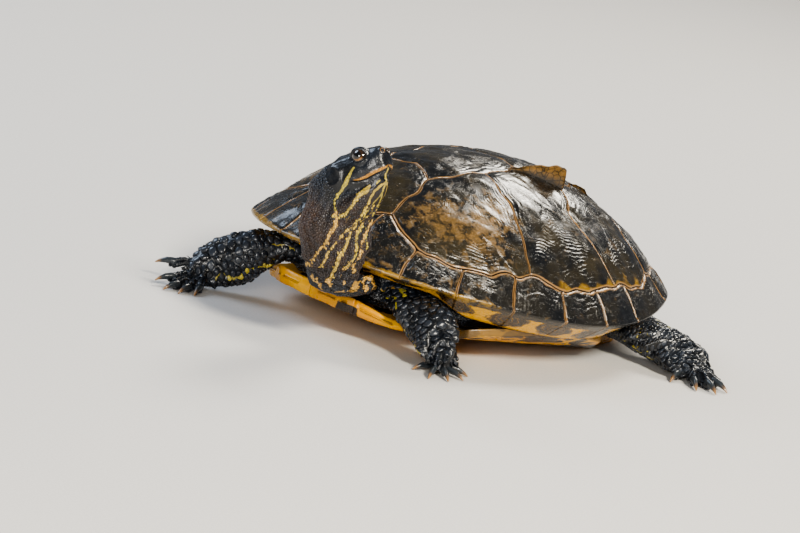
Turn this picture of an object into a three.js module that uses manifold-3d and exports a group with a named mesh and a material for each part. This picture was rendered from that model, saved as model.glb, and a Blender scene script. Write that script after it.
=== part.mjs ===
// Life-size still model of an adult slider turtle, head raised and turned to its left.
// Millimetres. +X is the animal's left, -Y its front and +Z is up; it rests on the plane z = 0.
import * as THREE from 'three';
import { mergeVertices } from 'three/addons/utils/BufferGeometryUtils.js';
import Module from 'manifold-3d';

const wasm = await Module();
wasm.setup();

// ---- Driving dimensions: the shell ----
const CARAPACE_LENGTH = 240.8;                 // straight, from front rim to rear rim
const CARAPACE_WIDTH = 188.5;
const CARAPACE_TOP = 81.7;                     // above the flat of the plastron
const RIM_HEIGHT = { front: 31.2, side: 23.9, rear: 33.6 };
const RIM_FLARE = { degrees: 134, width: 17, rise: 4.6 };   // the rim lifts over the thigh
const DOME_CENTRE_Y = 4;
const DOME_POWER = 2.26;                       // 2 is a paraboloid, more is flatter on top
const RIM_SQUARENESS = 1.05;
const RIM_EGG = 0.021;                         // widens the rear half of the rim
const PLATE_THICKNESS = 3.6;
const SEAM_GAP = 0.3;                          // groove between neighbouring plates
const SHELL_PITCH = THREE.MathUtils.degToRad(4);   // the shell is carried nose up
const PITCH_Y = 60;                            // it turns on this line of the plastron

// Where the seams between marginals reach the rim, in degrees from the front
const MARGINAL_SEAMS = [6.5, 20.5, 36.2, 51.3, 66.8, 82, 96.1, 109.9, 130.5, 140.5, 154, 167, 180];
// The inner border of the marginals: degrees from the front, and fraction of the way to the rim
const RING = [
  [0, 0.868], [6.5, 0.875], [22, 0.762], [36.2, 0.885], [51.3, 0.905], [71.8, 0.865], [89, 0.9],
  [105.1, 0.862], [120.2, 0.9], [127, 0.868], [140.5, 0.89], [157, 0.858], [167, 0.89], [180, 0.9],
];
const UNDERSIDE = { width: 13.5, flange: 4.2, bridge: 10.5, edge: 1.9, setback: 0.5 };
const BRIDGE = { front: 50, rear: 112, blend: 7 };     // degrees along the rim

// ---- Driving dimensions: the plastron ----
const PLASTRON_THICKNESS = 4.4;
const LIP = { y: -100, depth: 15, rise: 1.8, swell: 3.6, swellFrom: 79, swellTo: 96 };
const BRIDGE_RISE = { from: 50, to: 80.5, height: 12.6, power: 1.6 };
const EDGE_ROUND = 1.1;

// ---- Driving dimensions: the flesh ----
const TRUNK_REACH = 0.785;                     // fraction of the way to the rim
const TRUNK_CLEARANCE = { roof: 5, floor: 2 };
const TRUNK_ROUNDING = 3;
const HEAD_LENGTH = 42;
const HEAD_NOSE = new THREE.Vector3(60, -129.8, 104.3);
const HEAD_TURN = THREE.MathUtils.degToRad(9.2);       // from +X towards the rear
const HEAD_LIFT = THREE.MathUtils.degToRad(36.4);
const EYE_RADIUS = 4.2;
const EYE_PLACE = { back: 10.8, side: 6.3, up: 0.9 };
const PARTING = { back: 35, slope: 0.5 };      // where the head is parted from the neck

// ---- Helpers for outlines and solids ----
const lerp = THREE.MathUtils.lerp;
const smooth = THREE.MathUtils.smoothstep;

function tabled(table, value) {
  const i = Math.max(1, table.findIndex(([key]) => value <= key));
  const [[k0, v0], [k1, v1]] = [table[i - 1], table[i]];
  return lerp(v0, v1, (value - k0) / (k1 - k0));
}

// Points round a closed outline at about the given step, with its corners kept
function trace(points, step) {
  return points.flatMap((a, i) => {
    const b = points[(i + 1) % points.length];
    const pieces = Math.max(1, Math.round(Math.hypot(b[0] - a[0], b[1] - a[1]) / step));
    return Array.from({ length: pieces }, (_, j) => [
      lerp(a[0], b[0], j / pieces), lerp(a[1], b[1], j / pieces)]);
  });
}

const MITRE_LIMIT = 2.5;                       // how far a sharp corner may run in, in distances

// Moves every side of a plan outline inwards by the given distance
function inset(outline, distance) {
  const turn = Math.sign(THREE.ShapeUtils.area(outline.map(([x, y]) => new THREE.Vector2(x, y))));
  return outline.map((point, i) => {
    const before = outline[(i + outline.length - 1) % outline.length];
    const after = outline[(i + 1) % outline.length];
    const normals = [[before, point], [point, after]].map(([a, b]) => {
      const length = Math.hypot(b[0] - a[0], b[1] - a[1]);
      return [(-(b[1] - a[1]) / length) * turn, ((b[0] - a[0]) / length) * turn];
    });
    const sum = [normals[0][0] + normals[1][0], normals[0][1] + normals[1][1]];
    const scale = Math.min(MITRE_LIMIT, 2 / (sum[0] ** 2 + sum[1] ** 2));
    return [point[0] + sum[0] * scale * distance, point[1] + sum[1] * scale * distance];
  });
}

function meshFrom(vertices, faces) {
  const geometry = new THREE.BufferGeometry();
  geometry.setAttribute('position', new THREE.Float32BufferAttribute(vertices.flat(), 3));
  geometry.setIndex(faces.flat());
  return geometry;
}

// A closed skin over rings of equal length, each end closed by a fan on its own middle
function skinRings(rings) {
  const sides = rings[0].length;
  const vertices = rings.flat();
  const faces = [];
  const at = (ring, i) => ring * sides + (i % sides);
  for (let r = 0; r + 1 < rings.length; r += 1) {
    for (let i = 0; i < sides; i += 1) {
      faces.push([at(r, i), at(r, i + 1), at(r + 1, i + 1)], [at(r, i), at(r + 1, i + 1), at(r + 1, i)]);
    }
  }
  [[0, 1], [rings.length - 1, 0]].forEach(([ring, first]) => {
    const middle = vertices.length;
    vertices.push([0, 1, 2].map((axis) => rings[ring].reduce((sum, p) => sum + p[axis], 0) / sides));
    for (let i = 0; i < sides; i += 1) {
      faces.push(first ? [middle, at(ring, i + 1), at(ring, i)] : [middle, at(ring, i), at(ring, i + 1)]);
    }
  });
  return meshFrom(vertices, faces);
}

// A plate over a plan outline: rings shrink to the centre on top and again underneath
function plateOver(outline, centre, top, under, rings) {
  const ccw = THREE.ShapeUtils.area(outline.map(([x, y]) => new THREE.Vector2(x, y))) > 0;
  const turned = ccw ? outline : [...outline].reverse();
  const ringOf = (k, face) => turned.map(([x, y]) => (
    face(lerp(centre[0], x, k), lerp(centre[1], y, k), k)));
  const inwards = rings.map((k) => ringOf(k, top));
  const outwards = [...rings].reverse().map((k) => ringOf(k, under));
  return skinRings([...outwards, ...inwards]);
}

function solid(geometry) {
  const bare = geometry.clone();
  bare.deleteAttribute('normal');
  bare.deleteAttribute('uv');
  const merged = mergeVertices(bare, 1e-4);
  return new wasm.Manifold(new wasm.Mesh({
    numProp: 3,
    vertProperties: new Float32Array(merged.attributes.position.array),
    triVerts: new Uint32Array(merged.index.array),
  }));
}

function geometryOf(body) {
  const pieces = body.decompose().sort((a, b) => b.volume() - a.volume());
  const { vertProperties, triVerts, numProp } = pieces[0].getMesh();
  const vertices = [];
  for (let i = 0; i < vertProperties.length; i += numProp) {
    vertices.push([...vertProperties.slice(i, i + 3)]);
  }
  return meshFrom(vertices, [...triVerts]);
}

// ---- The carapace surface, level, with z measured from the flat of the plastron ----
function rimPoint(degrees) {
  const angle = THREE.MathUtils.degToRad(degrees);
  const [s, c] = [Math.sin(angle), Math.cos(angle)];
  const x = (CARAPACE_WIDTH / 2) * Math.sign(s) * Math.abs(s) ** RIM_SQUARENESS * (1 - RIM_EGG * c);
  const z = RIM_HEIGHT.side
    + (RIM_HEIGHT.front - RIM_HEIGHT.side) * Math.max(c, 0) ** 1.5
    + (RIM_HEIGHT.rear - RIM_HEIGHT.side) * Math.max(-c, 0) ** 1.5
    + RIM_FLARE.rise * Math.exp(-(((degrees - RIM_FLARE.degrees) / RIM_FLARE.width) ** 2));
  return [x, (-CARAPACE_LENGTH / 2) * c, z];
}

function planPoint(degrees, reach) {
  const [x, y] = rimPoint(degrees);
  return [x * reach, lerp(DOME_CENTRE_Y, y, reach)];
}

// Which way along the rim a plan point lies, and how far out
function polar(x, y) {
  let [low, high] = [0, 180];
  for (let step = 0; step < 40; step += 1) {
    const middle = (low + high) / 2;
    const [rx, ry] = rimPoint(middle);
    if (rx * (y - DOME_CENTRE_Y) - (ry - DOME_CENTRE_Y) * Math.abs(x) < 0) high = middle;
    else low = middle;
  }
  const [rx, ry] = rimPoint(low);
  const reach = Math.hypot(x, y - DOME_CENTRE_Y) / Math.hypot(rx, ry - DOME_CENTRE_Y);
  return { degrees: low, reach };
}

function domeHeight(x, y) {
  const { degrees, reach } = polar(x, y);
  const rim = rimPoint(degrees)[2];
  return rim + (CARAPACE_TOP - rim) * (1 - reach ** DOME_POWER);
}

// The dome moved inwards along its own normal
function domePoint(x, y, depth = 0) {
  const step = 0.4;
  const slopeX = (domeHeight(x + step, y) - domeHeight(x - step, y)) / (2 * step);
  const slopeY = (domeHeight(x, y + step) - domeHeight(x, y - step)) / (2 * step);
  const normal = new THREE.Vector3(-slopeX, -slopeY, 1).setLength(depth);
  return [x - normal.x, y - normal.y, domeHeight(x, y) - normal.z];
}

const ringReach = (degrees) => tabled(RING, degrees);
const ringPoint = (degrees) => planPoint(degrees, ringReach(degrees));

// The rim is measured at each marginal seam and half way between two
const RIM_STATIONS = MARGINAL_SEAMS.slice(1).flatMap((to, i) => [(MARGINAL_SEAMS[i] + to) / 2, to]);

function ringRun(from, to) {
  const between = RIM_STATIONS.filter((degrees) => degrees > from + 1 && degrees < to - 1);
  return [from, ...between, to].map(ringPoint);
}

// ---- Seams of the left half of the carapace, in plan; the right half mirrors them ----
const SEAM = {
  firstSide: [[22, -67.5], [17.3, -56.7]],
  oneTwoMiddle: [0, -50.5],
  secondSide: [[20.2, -35.3], [22.9, -22.5]],
  secondRear: [[20, -8], [15.7, 3]],
  twoThreeMiddle: [0, 4.5],
  thirdSide: [[26, 26]],
  thirdRear: [[17, 48]],
  threeFourMiddle: [0, 47],
  fourthSide: [[25, 66]],
  fourthRear: [[12, 81]],
  fourFiveMiddle: [0, 80],
  costalOneTwo: [[36.7, -25.9], [53.6, -26.4], [70, -29.3]],
  costalTwoThree: [[41, 20], [55.2, 16.5], [68.8, 24]],
  costalThreeFour: [[40, 60], [55, 63]],
};
// Where the seams between the large plates reach that inner border, in degrees from the front
const RING_STOPS = {
  nuchal: 6.5, first: 22, oneTwo: 71.8, twoThree: 105.1, threeFour: 127, fifth: 157, last: 180,
};

const mirrored = (points) => points.map(([x, y]) => [-x, y]);
// Closes a vertebral from its left side, run front to rear, by mirroring it
const bothSides = (left) => [...left, ...mirrored(left).reverse()].filter(([x, y], i, all) => (
  !all.slice(0, i).some(([px, py]) => Math.hypot(px - x, py - y) < 1e-6)));

const VERTEBRALS = [
  bothSides([[0, ringPoint(RING_STOPS.nuchal)[1]], ...ringRun(RING_STOPS.nuchal, RING_STOPS.first),
    ...SEAM.firstSide, SEAM.oneTwoMiddle]),
  bothSides([SEAM.oneTwoMiddle, SEAM.firstSide[1], ...SEAM.secondSide, ...SEAM.secondRear,
    SEAM.twoThreeMiddle]),
  bothSides([SEAM.twoThreeMiddle, SEAM.secondRear[1], ...SEAM.thirdSide, ...SEAM.thirdRear,
    SEAM.threeFourMiddle]),
  bothSides([SEAM.threeFourMiddle, ...SEAM.thirdRear, ...SEAM.fourthSide, ...SEAM.fourthRear,
    SEAM.fourFiveMiddle]),
  bothSides([SEAM.fourFiveMiddle, ...SEAM.fourthRear, ...ringRun(RING_STOPS.fifth, RING_STOPS.last)]),
];

const COSTALS = [
  [...ringRun(RING_STOPS.first, RING_STOPS.oneTwo), ...[...SEAM.costalOneTwo].reverse(),
    ...[...SEAM.secondSide].reverse(), ...[...SEAM.firstSide].reverse()],
  [...ringRun(RING_STOPS.oneTwo, RING_STOPS.twoThree), ...[...SEAM.costalTwoThree].reverse(),
    ...SEAM.thirdSide, ...[...SEAM.secondRear].reverse(), SEAM.secondSide[1], ...SEAM.costalOneTwo],
  [...ringRun(RING_STOPS.twoThree, RING_STOPS.threeFour), ...[...SEAM.costalThreeFour].reverse(),
    ...SEAM.fourthSide, ...SEAM.thirdRear, ...SEAM.thirdSide, ...SEAM.costalTwoThree],
  [...ringRun(RING_STOPS.threeFour, RING_STOPS.fifth), ...SEAM.fourthRear,
    ...SEAM.fourthSide, ...SEAM.costalThreeFour],
];
const COSTAL_CENTRES = [[44, -58], [48, -5], [46, 40], [37, 78]];
const VERTEBRAL_CENTRES = [[0, -76], [0, -24], [0, 25], [0, 64], [0, 93]];
const PLATE_STEP = 20;

function carapacePlate(outline, centre) {
  const edge = inset(trace(outline, PLATE_STEP), SEAM_GAP / 2);
  return plateOver(
    edge, centre,
    (x, y) => domePoint(x, y),
    (x, y) => domePoint(x, y, PLATE_THICKNESS),
    [1, 0.5],
  );
}

// ---- Marginals: a section of the rim, swept between two seams ----
const crossed = (degrees, line) => smooth(degrees, line - BRIDGE.blend, line + BRIDGE.blend);
const bridgeShare = (degrees) => crossed(degrees, BRIDGE.front) * (1 - crossed(degrees, BRIDGE.rear));

function marginalSection(degrees, side) {
  const [rx, ry, rz] = rimPoint(degrees);
  const inwards = new THREE.Vector2(-rx, DOME_CENTRE_Y - ry).normalize();
  const reach = ringReach(degrees) + SEAM_GAP / CARAPACE_WIDTH;
  const inner = planPoint(degrees, reach);
  const middle = planPoint(degrees, (1 + reach) / 2);
  const share = bridgeShare(degrees);
  const below = (part) => {
    const run = UNDERSIDE.width * part + UNDERSIDE.setback;
    const drop = UNDERSIDE.edge + lerp(UNDERSIDE.flange, UNDERSIDE.bridge, share) * part;
    return [rx + inwards.x * run, ry + inwards.y * run, rz - drop];
  };
  const top = [domePoint(...inner), domePoint(...middle), [rx, ry, rz]];
  const underside = [below(0), below(0.5), below(1), domePoint(...inner, PLATE_THICKNESS)];
  return [...top, ...underside].map(([x, y, z]) => [x * side, y, z]);
}

function marginal(number, side) {
  const [from, to] = [MARGINAL_SEAMS[number - 1], MARGINAL_SEAMS[number]];
  const half = THREE.MathUtils.radToDeg(SEAM_GAP / CARAPACE_WIDTH);
  const stations = [from + half, (from + to) / 2, to - half];
  const rings = stations.map((degrees) => marginalSection(degrees, side));
  return skinRings(side > 0 ? rings : rings.reverse());
}

function nuchal() {
  const half = MARGINAL_SEAMS[0] - THREE.MathUtils.radToDeg(SEAM_GAP / CARAPACE_WIDTH);
  return skinRings([marginalSection(half, -1), marginalSection(0, 1), marginalSection(half, 1)]);
}

// ---- Plastron ----
function plastronUnder(x, y) {
  const lip = LIP.rise * smooth(-y, -LIP.y - LIP.depth, -LIP.y);
  const tail = Math.max(0, Math.tan(SHELL_PITCH) * (y - PITCH_Y));
  const across = (Math.abs(x) - BRIDGE_RISE.from) / (BRIDGE_RISE.to - BRIDGE_RISE.from);
  const bridge = BRIDGE_RISE.height * THREE.MathUtils.clamp(across, 0, 1) ** BRIDGE_RISE.power;
  return lip + tail + bridge;
}

function plastronTop(x, y) {
  const swell = LIP.swell * smooth(-y, LIP.swellFrom, LIP.swellTo);
  return plastronUnder(x, y) + PLASTRON_THICKNESS + swell;
}

// Border of the bridge, just inside the undersides of the marginals
function bridgeEdge(degrees) {
  const [rx, ry] = rimPoint(degrees);
  const inwards = new THREE.Vector2(-rx, DOME_CENTRE_Y - ry).normalize();
  const run = UNDERSIDE.width + UNDERSIDE.setback + SEAM_GAP * 1.5;
  return [rx + inwards.x * run, ry + inwards.y * run];
}

const LOBE = {
  gularFront: [[0, -99], [14, -100], [28, -94.8]],
  humeralSide: [[40, -88], [49, -76], [51.5, -64]],
  axilla: [[49, -57], [57, -54]],
  inguinal: [[57, 47], [49, 52]],
  femoralSide: [[49.5, 64], [44, 80]],
  analSide: [[36, 92], [22, 102], [7, 106], [0, 102.5]],
};
const MIDLINE = { gular: -80, humeral: -58, pectoral: -20, abdominal: 32, femoral: 62 };
const BRIDGE_STOPS = { front: 58, middle: 78.5, rear: 108 };
const bridgeRun = (from, to, pieces) => Array.from({ length: pieces + 1 }, (_, i) => (
  bridgeEdge(lerp(from, to, i / pieces))));

const PLASTRON = {
  gular: { outline: [...LOBE.gularFront, [0, MIDLINE.gular]], centre: [11, -92] },
  humeral: { outline: [LOBE.gularFront[2], ...LOBE.humeralSide, [0, MIDLINE.humeral], [0, MIDLINE.gular]],
    centre: [25, -73] },
  pectoral: { outline: [LOBE.humeralSide[2], ...LOBE.axilla,
    ...bridgeRun(BRIDGE_STOPS.front, BRIDGE_STOPS.middle, 2), [0, MIDLINE.pectoral], [0, MIDLINE.humeral]],
  centre: [32, -38] },
  abdominal: { outline: [...bridgeRun(BRIDGE_STOPS.middle, BRIDGE_STOPS.rear, 3), ...LOBE.inguinal,
    [0, MIDLINE.abdominal], [0, MIDLINE.pectoral]], centre: [34, 10] },
  femoral: { outline: [LOBE.inguinal[1], ...LOBE.femoralSide, [0, MIDLINE.femoral], [0, MIDLINE.abdominal]],
    centre: [24, 58] },
  anal: { outline: [LOBE.femoralSide[1], ...LOBE.analSide, [0, MIDLINE.femoral]], centre: [16, 86] },
};

function plastronPlate({ outline, centre }, side) {
  const edge = inset(trace(outline, PLATE_STEP), SEAM_GAP / 2).map(([x, y]) => [x * side, y]);
  return plateOver(
    edge, [centre[0] * side, centre[1]],
    (x, y, k) => [x, y, plastronTop(x, y) - (k === 1 ? EDGE_ROUND : 0)],
    (x, y, k) => [x, y, plastronUnder(x, y) + (k === 1 ? EDGE_ROUND : 0)],
    [1, 0.93, 0.5],
  );
}

// ---- Flesh ----
// Carries a point of the level shell to where the pitched shell holds it
const shellPlace = new THREE.Matrix4()
  .makeTranslation(0, PITCH_Y, 0)
  .multiply(new THREE.Matrix4().makeRotationX(-SHELL_PITCH))
  .multiply(new THREE.Matrix4().makeTranslation(0, -PITCH_Y, 0));

function trunkBody(grown) {
  const stations = 22;
  const outline = Array.from({ length: stations }, (_, i) => {
    const degrees = (i + 0.5) * (360 / stations);
    const [x, y] = planPoint(degrees > 180 ? 360 - degrees : degrees, TRUNK_REACH);
    return [degrees > 180 ? -x : x, y];
  });
  const rounding = (k) => (k === 1 ? TRUNK_ROUNDING : 0);
  const roof = (x, y, k) => {
    const [px, py, pz] = domePoint(x, y, PLATE_THICKNESS + TRUNK_CLEARANCE.roof + rounding(k));
    return [px, py, pz + grown];
  };
  const floor = (x, y, k) => [x, y, plastronTop(x, y) + TRUNK_CLEARANCE.floor + rounding(k) - grown];
  const rim = outline.map(([x, y]) => {
    const length = Math.hypot(x, y);
    return [x * (1 + grown / length), y * (1 + grown / length)];
  });
  return plateOver(rim, [0, 0], roof, floor, [1, 0.95, 0.62, 0.3]).applyMatrix4(shellPlace);
}

// A limb or neck: oval sections along a bent centre line. wide is the half width across the
// facing direction, and thick the half thickness along it.
function sweep(sections, sides) {
  const centres = sections.map(({ at }) => new THREE.Vector3(...at));
  const rings = sections.map(({ wide, thick, face }, i) => {
    const before = centres[Math.max(0, i - 1)];
    const after = centres[Math.min(centres.length - 1, i + 1)];
    const along = after.clone().sub(before).normalize();
    const out = new THREE.Vector3(...face);
    out.addScaledVector(along, -out.dot(along)).normalize();
    const across = along.clone().cross(out);
    return Array.from({ length: sides }, (_, j) => {
      const angle = (2 * Math.PI * j) / sides;
      return centres[i].clone()
        .addScaledVector(across, -wide * Math.cos(angle))
        .addScaledVector(out, thick * Math.sin(angle))
        .toArray();
    });
  });
  return skinRings(rings);
}

const section = (at, wide, thick, face) => ({ at, wide, thick, face });
const UP = [0, 0, 1];
const OUTLOOK = [0.66, -0.71, 0.22];            // the way the raised neck faces

const NECK = [
  section([11, -80, 27], 14, 7.2, UP),
  section([20, -96, 27.3], 16.4, 6.9, UP),
  section([29, -109, 30.2], 16.8, 8, [0, -0.2, 1]),
  section([38, -122, 38], 16.5, 11.6, [0.5, -0.6, 0.6]),
  section([41.5, -129.5, 50], 16.8, 15, OUTLOOK),
  section([40, -132, 63], 18.3, 16.5, OUTLOOK),
  section([35.5, -133, 75], 18.3, 16, OUTLOOK),
];
// Half widths and places of the sections that run on from the neck into the head
const NAPE = [[41, -8.5, 16, 12.5], [33, -6.5, 14.5, 10.5], [22, -6, 9, 7]];
const THROAT = [[46, -20, 13, 12], [34, -20.5, 13.5, 10.5], [24, -18.5, 12, 8.5], [13.5, -14.5, 8.5, 6],
  [5.5, -10.5, 5, 3.2]];

const ARM_LEFT = [
  section([26, -66, 24.5], 11, 6.5, UP),
  section([40, -73.5, 24.5], 11.3, 6.8, UP),
  section([52, -77, 22.8], 12, 7, [0.4, -0.5, 0.8]),
  section([62, -77, 18.5], 12.2, 7, OUTLOOK),
  section([71, -78, 14], 12, 6.6, [0.5, -0.6, 0.6]),
  section([77.5, -80, 8.5], 11.6, 5.6, [0.4, -0.35, 0.9]),
  section([83, -84.5, 3.6], 10, 4.9, UP),
];

const ARM_RIGHT = [
  section([-20, -70, 25], 11, 6.5, UP),
  section([-32, -88, 27.6], 7.6, 6.4, [0.5, -0.3, 0.8]),
  section([-39, -97.5, 23.6], 11.2, 7, [0.87, -0.5, 0.1]),
  section([-43.5, -103.5, 18.5], 13.5, 7.4, [0.87, -0.5, 0.15]),
  section([-49, -112, 14], 12.8, 6.8, [0.8, -0.4, 0.35]),
  section([-53, -119.5, 9], 11.5, 5.6, [0.62, -0.3, 0.72]),
  section([-55, -125, 5.6], 9.5, 4.4, [0.45, -0.2, 0.87]),
];

const THIGH_LEFT = [
  section([42, 62, 15], 13, 7, UP),
  section([58, 69, 14.5], 15, 8, UP),
  section([73, 75.5, 12], 16, 9.8, UP),
  section([85, 78, 10], 16, 9.7, [0.1, 0, 1]),
  section([95, 78, 7.5], 15.5, 7.4, [0.3, -0.1, 1]),
  section([103, 76, 4.6], 14, 5.2, [0.1, 0, 1]),
  section([109, 73.5, 3.1], 12, 3.6, UP),
];

const THIGH_RIGHT = THIGH_LEFT.map(({ at: [x, y, z], wide, thick, face }) => (
  section([-x + 1, y + 6 + (x - 42) * 0.08, z], wide, thick, [-face[0], face[1], face[2]])));

const TAIL = [
  section([0, 84, 15], 8.5, 6, UP),
  section([0.5, 100, 13.5], 7.6, 5.6, UP),
  section([2, 112, 10.5], 6.3, 5.2, UP),
  section([6, 123, 6], 5, 4.6, UP),
  section([14, 133, 3.6], 3.8, 3.7, UP),
  section([24, 140, 2], 2.2, 2.1, UP),
  section([31, 143, 1.1], 0.9, 0.9, UP),
];

// Toes fan out from the palm; turn is degrees from +X, reach runs to the claw's tip, and rise
// lifts a toe of the hand that is tilted
const FOOT_FRONT = { toe: 3, claw: 1.75, clawLength: 9.5 };
const FOOT_HIND = { toe: 3.8, claw: 1.95, clawLength: 9.5 };
const FEET = {
  leg_front_left: {
    arm: ARM_LEFT, palm: [77, -80], kind: FOOT_FRONT,
    toes: [[-100, 15], [-57, 20.5], [-28, 18.5], [8, 16], [46, 15]],
  },
  leg_front_right: {
    arm: ARM_RIGHT, palm: [-51, -119], kind: FOOT_FRONT,
    toes: [[-54, 20], [-71, 25], [-87, 28], [-106, 27, 2], [-143, 26, 7]],
  },
  leg_hind_left: {
    arm: THIGH_LEFT, palm: [97, 78], kind: FOOT_HIND,
    toes: [[-68, 21], [-35, 27], [-15, 29.5], [6, 27], [34, 20]],
  },
  leg_hind_right: {
    arm: THIGH_RIGHT, palm: [-96.5, 88.5], kind: FOOT_HIND,
    toes: [[-112, 21], [-145, 27], [-165, 29.5], [-186, 27], [-214, 20]],
  },
};

// Sections of a toe: how far along it, then half width and height, both in half widths of the toe
const TOE_SHAPE = [[0.15, 0.9, 1.25], [0.62, 1, 1.5], [1, 0.92, 0.7], [1.15, 0.5, 0.55]];
// Sections of a claw: how far along it, half width in half widths of the claw, height in toes
const CLAW_SHAPE = [[-0.1, 1, 1], [0.45, 0.8, 0.9], [0.8, 0.45, 0.5], [1, 0.18, 0.1]];
const TOE_SIDES = 7;
const CLAW_SIDES = 5;

function toeAndClaw([px, py], [turn, reach, rise = 0], { toe, claw, clawLength }) {
  const angle = THREE.MathUtils.degToRad(turn);
  const root = reach - clawLength;
  const place = (distance, height) => (
    [px + Math.cos(angle) * distance, py + Math.sin(angle) * distance, height * toe + rise]);
  const digit = TOE_SHAPE.map(([along, half, height]) => (
    section(place(root * along, height), toe * half, toe * half, UP)));
  const nail = CLAW_SHAPE.map(([along, half, height]) => (
    section(place(root + clawLength * along, height), claw * half, claw * half, UP)));
  return solid(sweep(digit, TOE_SIDES)).add(solid(sweep(nail, CLAW_SIDES)));
}

function leg({ arm, palm, toes, kind }, cutter) {
  const whole = toes.reduce((body, one) => body.add(toeAndClaw(palm, one, kind)), solid(sweep(arm, 10)));
  return geometryOf(whole.trimByPlane(UP, 0).subtract(cutter));
}

// Sections of the head: distance behind the nose, half width, height of crown and of chin
const HEAD_SECTIONS = [
  [0.2, 2.6, 1.9, -2.6], [1.1, 4.6, 2.8, -8.6], [3.6, 6.8, 3.6, -11.2], [7.5, 8.9, 4.9, -13],
  [12.5, 10.9, 5.8, -14.8], [18.5, 12.6, 6.3, -16.4], [26, 15, 6.2, -18], [33, 16.4, 5.2, -18.6],
  [HEAD_LENGTH, 15.6, 2.6, -18.4],
];
const CROWN_FLATNESS = 2.5;                    // 2 is an ellipse, more is squarer
const CHIN_FLATNESS = 2.2;

function headAxes() {
  const level = new THREE.Vector3(Math.cos(HEAD_TURN), Math.sin(HEAD_TURN), 0);
  const forward = level.clone().multiplyScalar(Math.cos(HEAD_LIFT)).setZ(Math.sin(HEAD_LIFT));
  const right = new THREE.Vector3(level.y, -level.x, 0);
  return { back: forward.clone().negate(), right, up: right.clone().cross(forward) };
}

function headPoint(back, side, up) {
  const axes = headAxes();
  return HEAD_NOSE.clone()
    .addScaledVector(axes.back, back)
    .addScaledVector(axes.right, side)
    .addScaledVector(axes.up, up);
}

function headBody() {
  const sides = 14;
  const rings = HEAD_SECTIONS.map(([back, half, crown, chin]) => {
    const middle = (crown + chin) / 2;
    return Array.from({ length: sides }, (_, i) => {
      const angle = (2 * Math.PI * (i + 0.5)) / sides;
      const [c, s] = [Math.cos(angle), Math.sin(angle)];
      const flat = s > 0 ? CROWN_FLATNESS : CHIN_FLATNESS;
      const side = half * Math.sign(c) * Math.abs(c) ** (2 / flat);
      const up = middle + ((crown - chin) / 2) * Math.sign(s) * Math.abs(s) ** (2 / flat);
      return headPoint(back, side, up).toArray();
    });
  });
  return solid(skinRings(rings));
}

function eyeball(side, radius) {
  const ball = new THREE.SphereGeometry(radius, 12, 8);
  return ball.translate(...headPoint(EYE_PLACE.back, EYE_PLACE.side * side, EYE_PLACE.up).toArray());
}

// ---- Materials ----
const material = (color, roughness) => new THREE.MeshStandardMaterial({ color, roughness, metalness: 0 });
const CARAPACE_DARK = material(0x2b2a26, 0.35);
const PLASTRON_YELLOW = material(0xc98f1c, 0.4);
const SKIN_DARK = material(0x1d1d1b, 0.45);
const EYE_DARK = material(0x120c08, 0.08);

// ---- The model ----
const turtle = new THREE.Group();
const shell = new THREE.Group();
shell.rotation.x = -SHELL_PITCH;
shell.position.copy(new THREE.Vector3().applyMatrix4(shellPlace));

function part(parent, name, geometry, finish) {
  const mesh = new THREE.Mesh(geometry, finish);
  mesh.name = name;
  parent.add(mesh);
}

const SIDES = { left: 1, right: -1 };
part(shell, 'nuchal', nuchal(), CARAPACE_DARK);
VERTEBRALS.forEach((outline, i) => {
  part(shell, `vertebral_${i + 1}`, carapacePlate(outline, VERTEBRAL_CENTRES[i]), CARAPACE_DARK);
});
Object.entries(SIDES).forEach(([word, side]) => {
  COSTALS.forEach((outline, i) => {
    const [x, y] = COSTAL_CENTRES[i];
    const placed = outline.map(([px, py]) => [px * side, py]);
    part(shell, `costal_${word}_${i + 1}`, carapacePlate(placed, [x * side, y]), CARAPACE_DARK);
  });
  for (let number = 1; number < MARGINAL_SEAMS.length; number += 1) {
    part(shell, `marginal_${word}_${number}`, marginal(number, side), CARAPACE_DARK);
  }
  Object.entries(PLASTRON).forEach(([name, plate]) => {
    part(shell, `${name}_${word}`, plastronPlate(plate, side), PLASTRON_YELLOW);
  });
});

const flesh = new THREE.Group();
const trunkCut = solid(trunkBody(SEAM_GAP));
part(flesh, 'trunk', trunkBody(0), SKIN_DARK);
part(flesh, 'tail', geometryOf(solid(sweep(TAIL, 8)).trimByPlane(UP, 0).subtract(trunkCut)), SKIN_DARK);
Object.entries(FEET).forEach(([name, limb]) => {
  part(flesh, name, leg(limb, trunkCut), SKIN_DARK);
});

// Head, nape and throat are one body with the neck, parted behind the jaw
const headFrame = headAxes();
const underHead = (table) => table.map(([back, up, wide, thick]) => (
  section(headPoint(back, 0, up).toArray(), wide, thick, headFrame.up.toArray())));
const raised = headBody()
  .add(solid(sweep([...NECK, ...underHead(NAPE)], 12)))
  .add(solid(sweep(underHead(THROAT), 10)));
const parting = headFrame.back.clone().sub(new THREE.Vector3(0, 0, PARTING.slope)).normalize();
const partingPlace = parting.dot(headPoint(PARTING.back, 0, 0));
const sockets = Object.values(SIDES).map((side) => solid(eyeball(side, EYE_RADIUS + SEAM_GAP)));
part(flesh, 'head', geometryOf(raised
  .trimByPlane(parting.clone().negate().toArray(), -partingPlace + SEAM_GAP / 2)
  .subtract(sockets[0]).subtract(sockets[1])), SKIN_DARK);
part(flesh, 'neck', geometryOf(raised
  .trimByPlane(parting.toArray(), partingPlace + SEAM_GAP / 2)
  .subtract(trunkCut)), SKIN_DARK);
Object.entries(SIDES).forEach(([word, side]) => {
  part(flesh, `eye_${word}`, eyeball(-side, EYE_RADIUS), EYE_DARK);
});

turtle.add(shell, flesh);
// The origin is the middle of the model's box, at the level that it rests on
const box = new THREE.Box3().setFromObject(turtle, true);
turtle.position.set(-(box.min.x + box.max.x) / 2, -(box.min.y + box.max.y) / 2, -box.min.z);

export default turtle;
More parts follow.
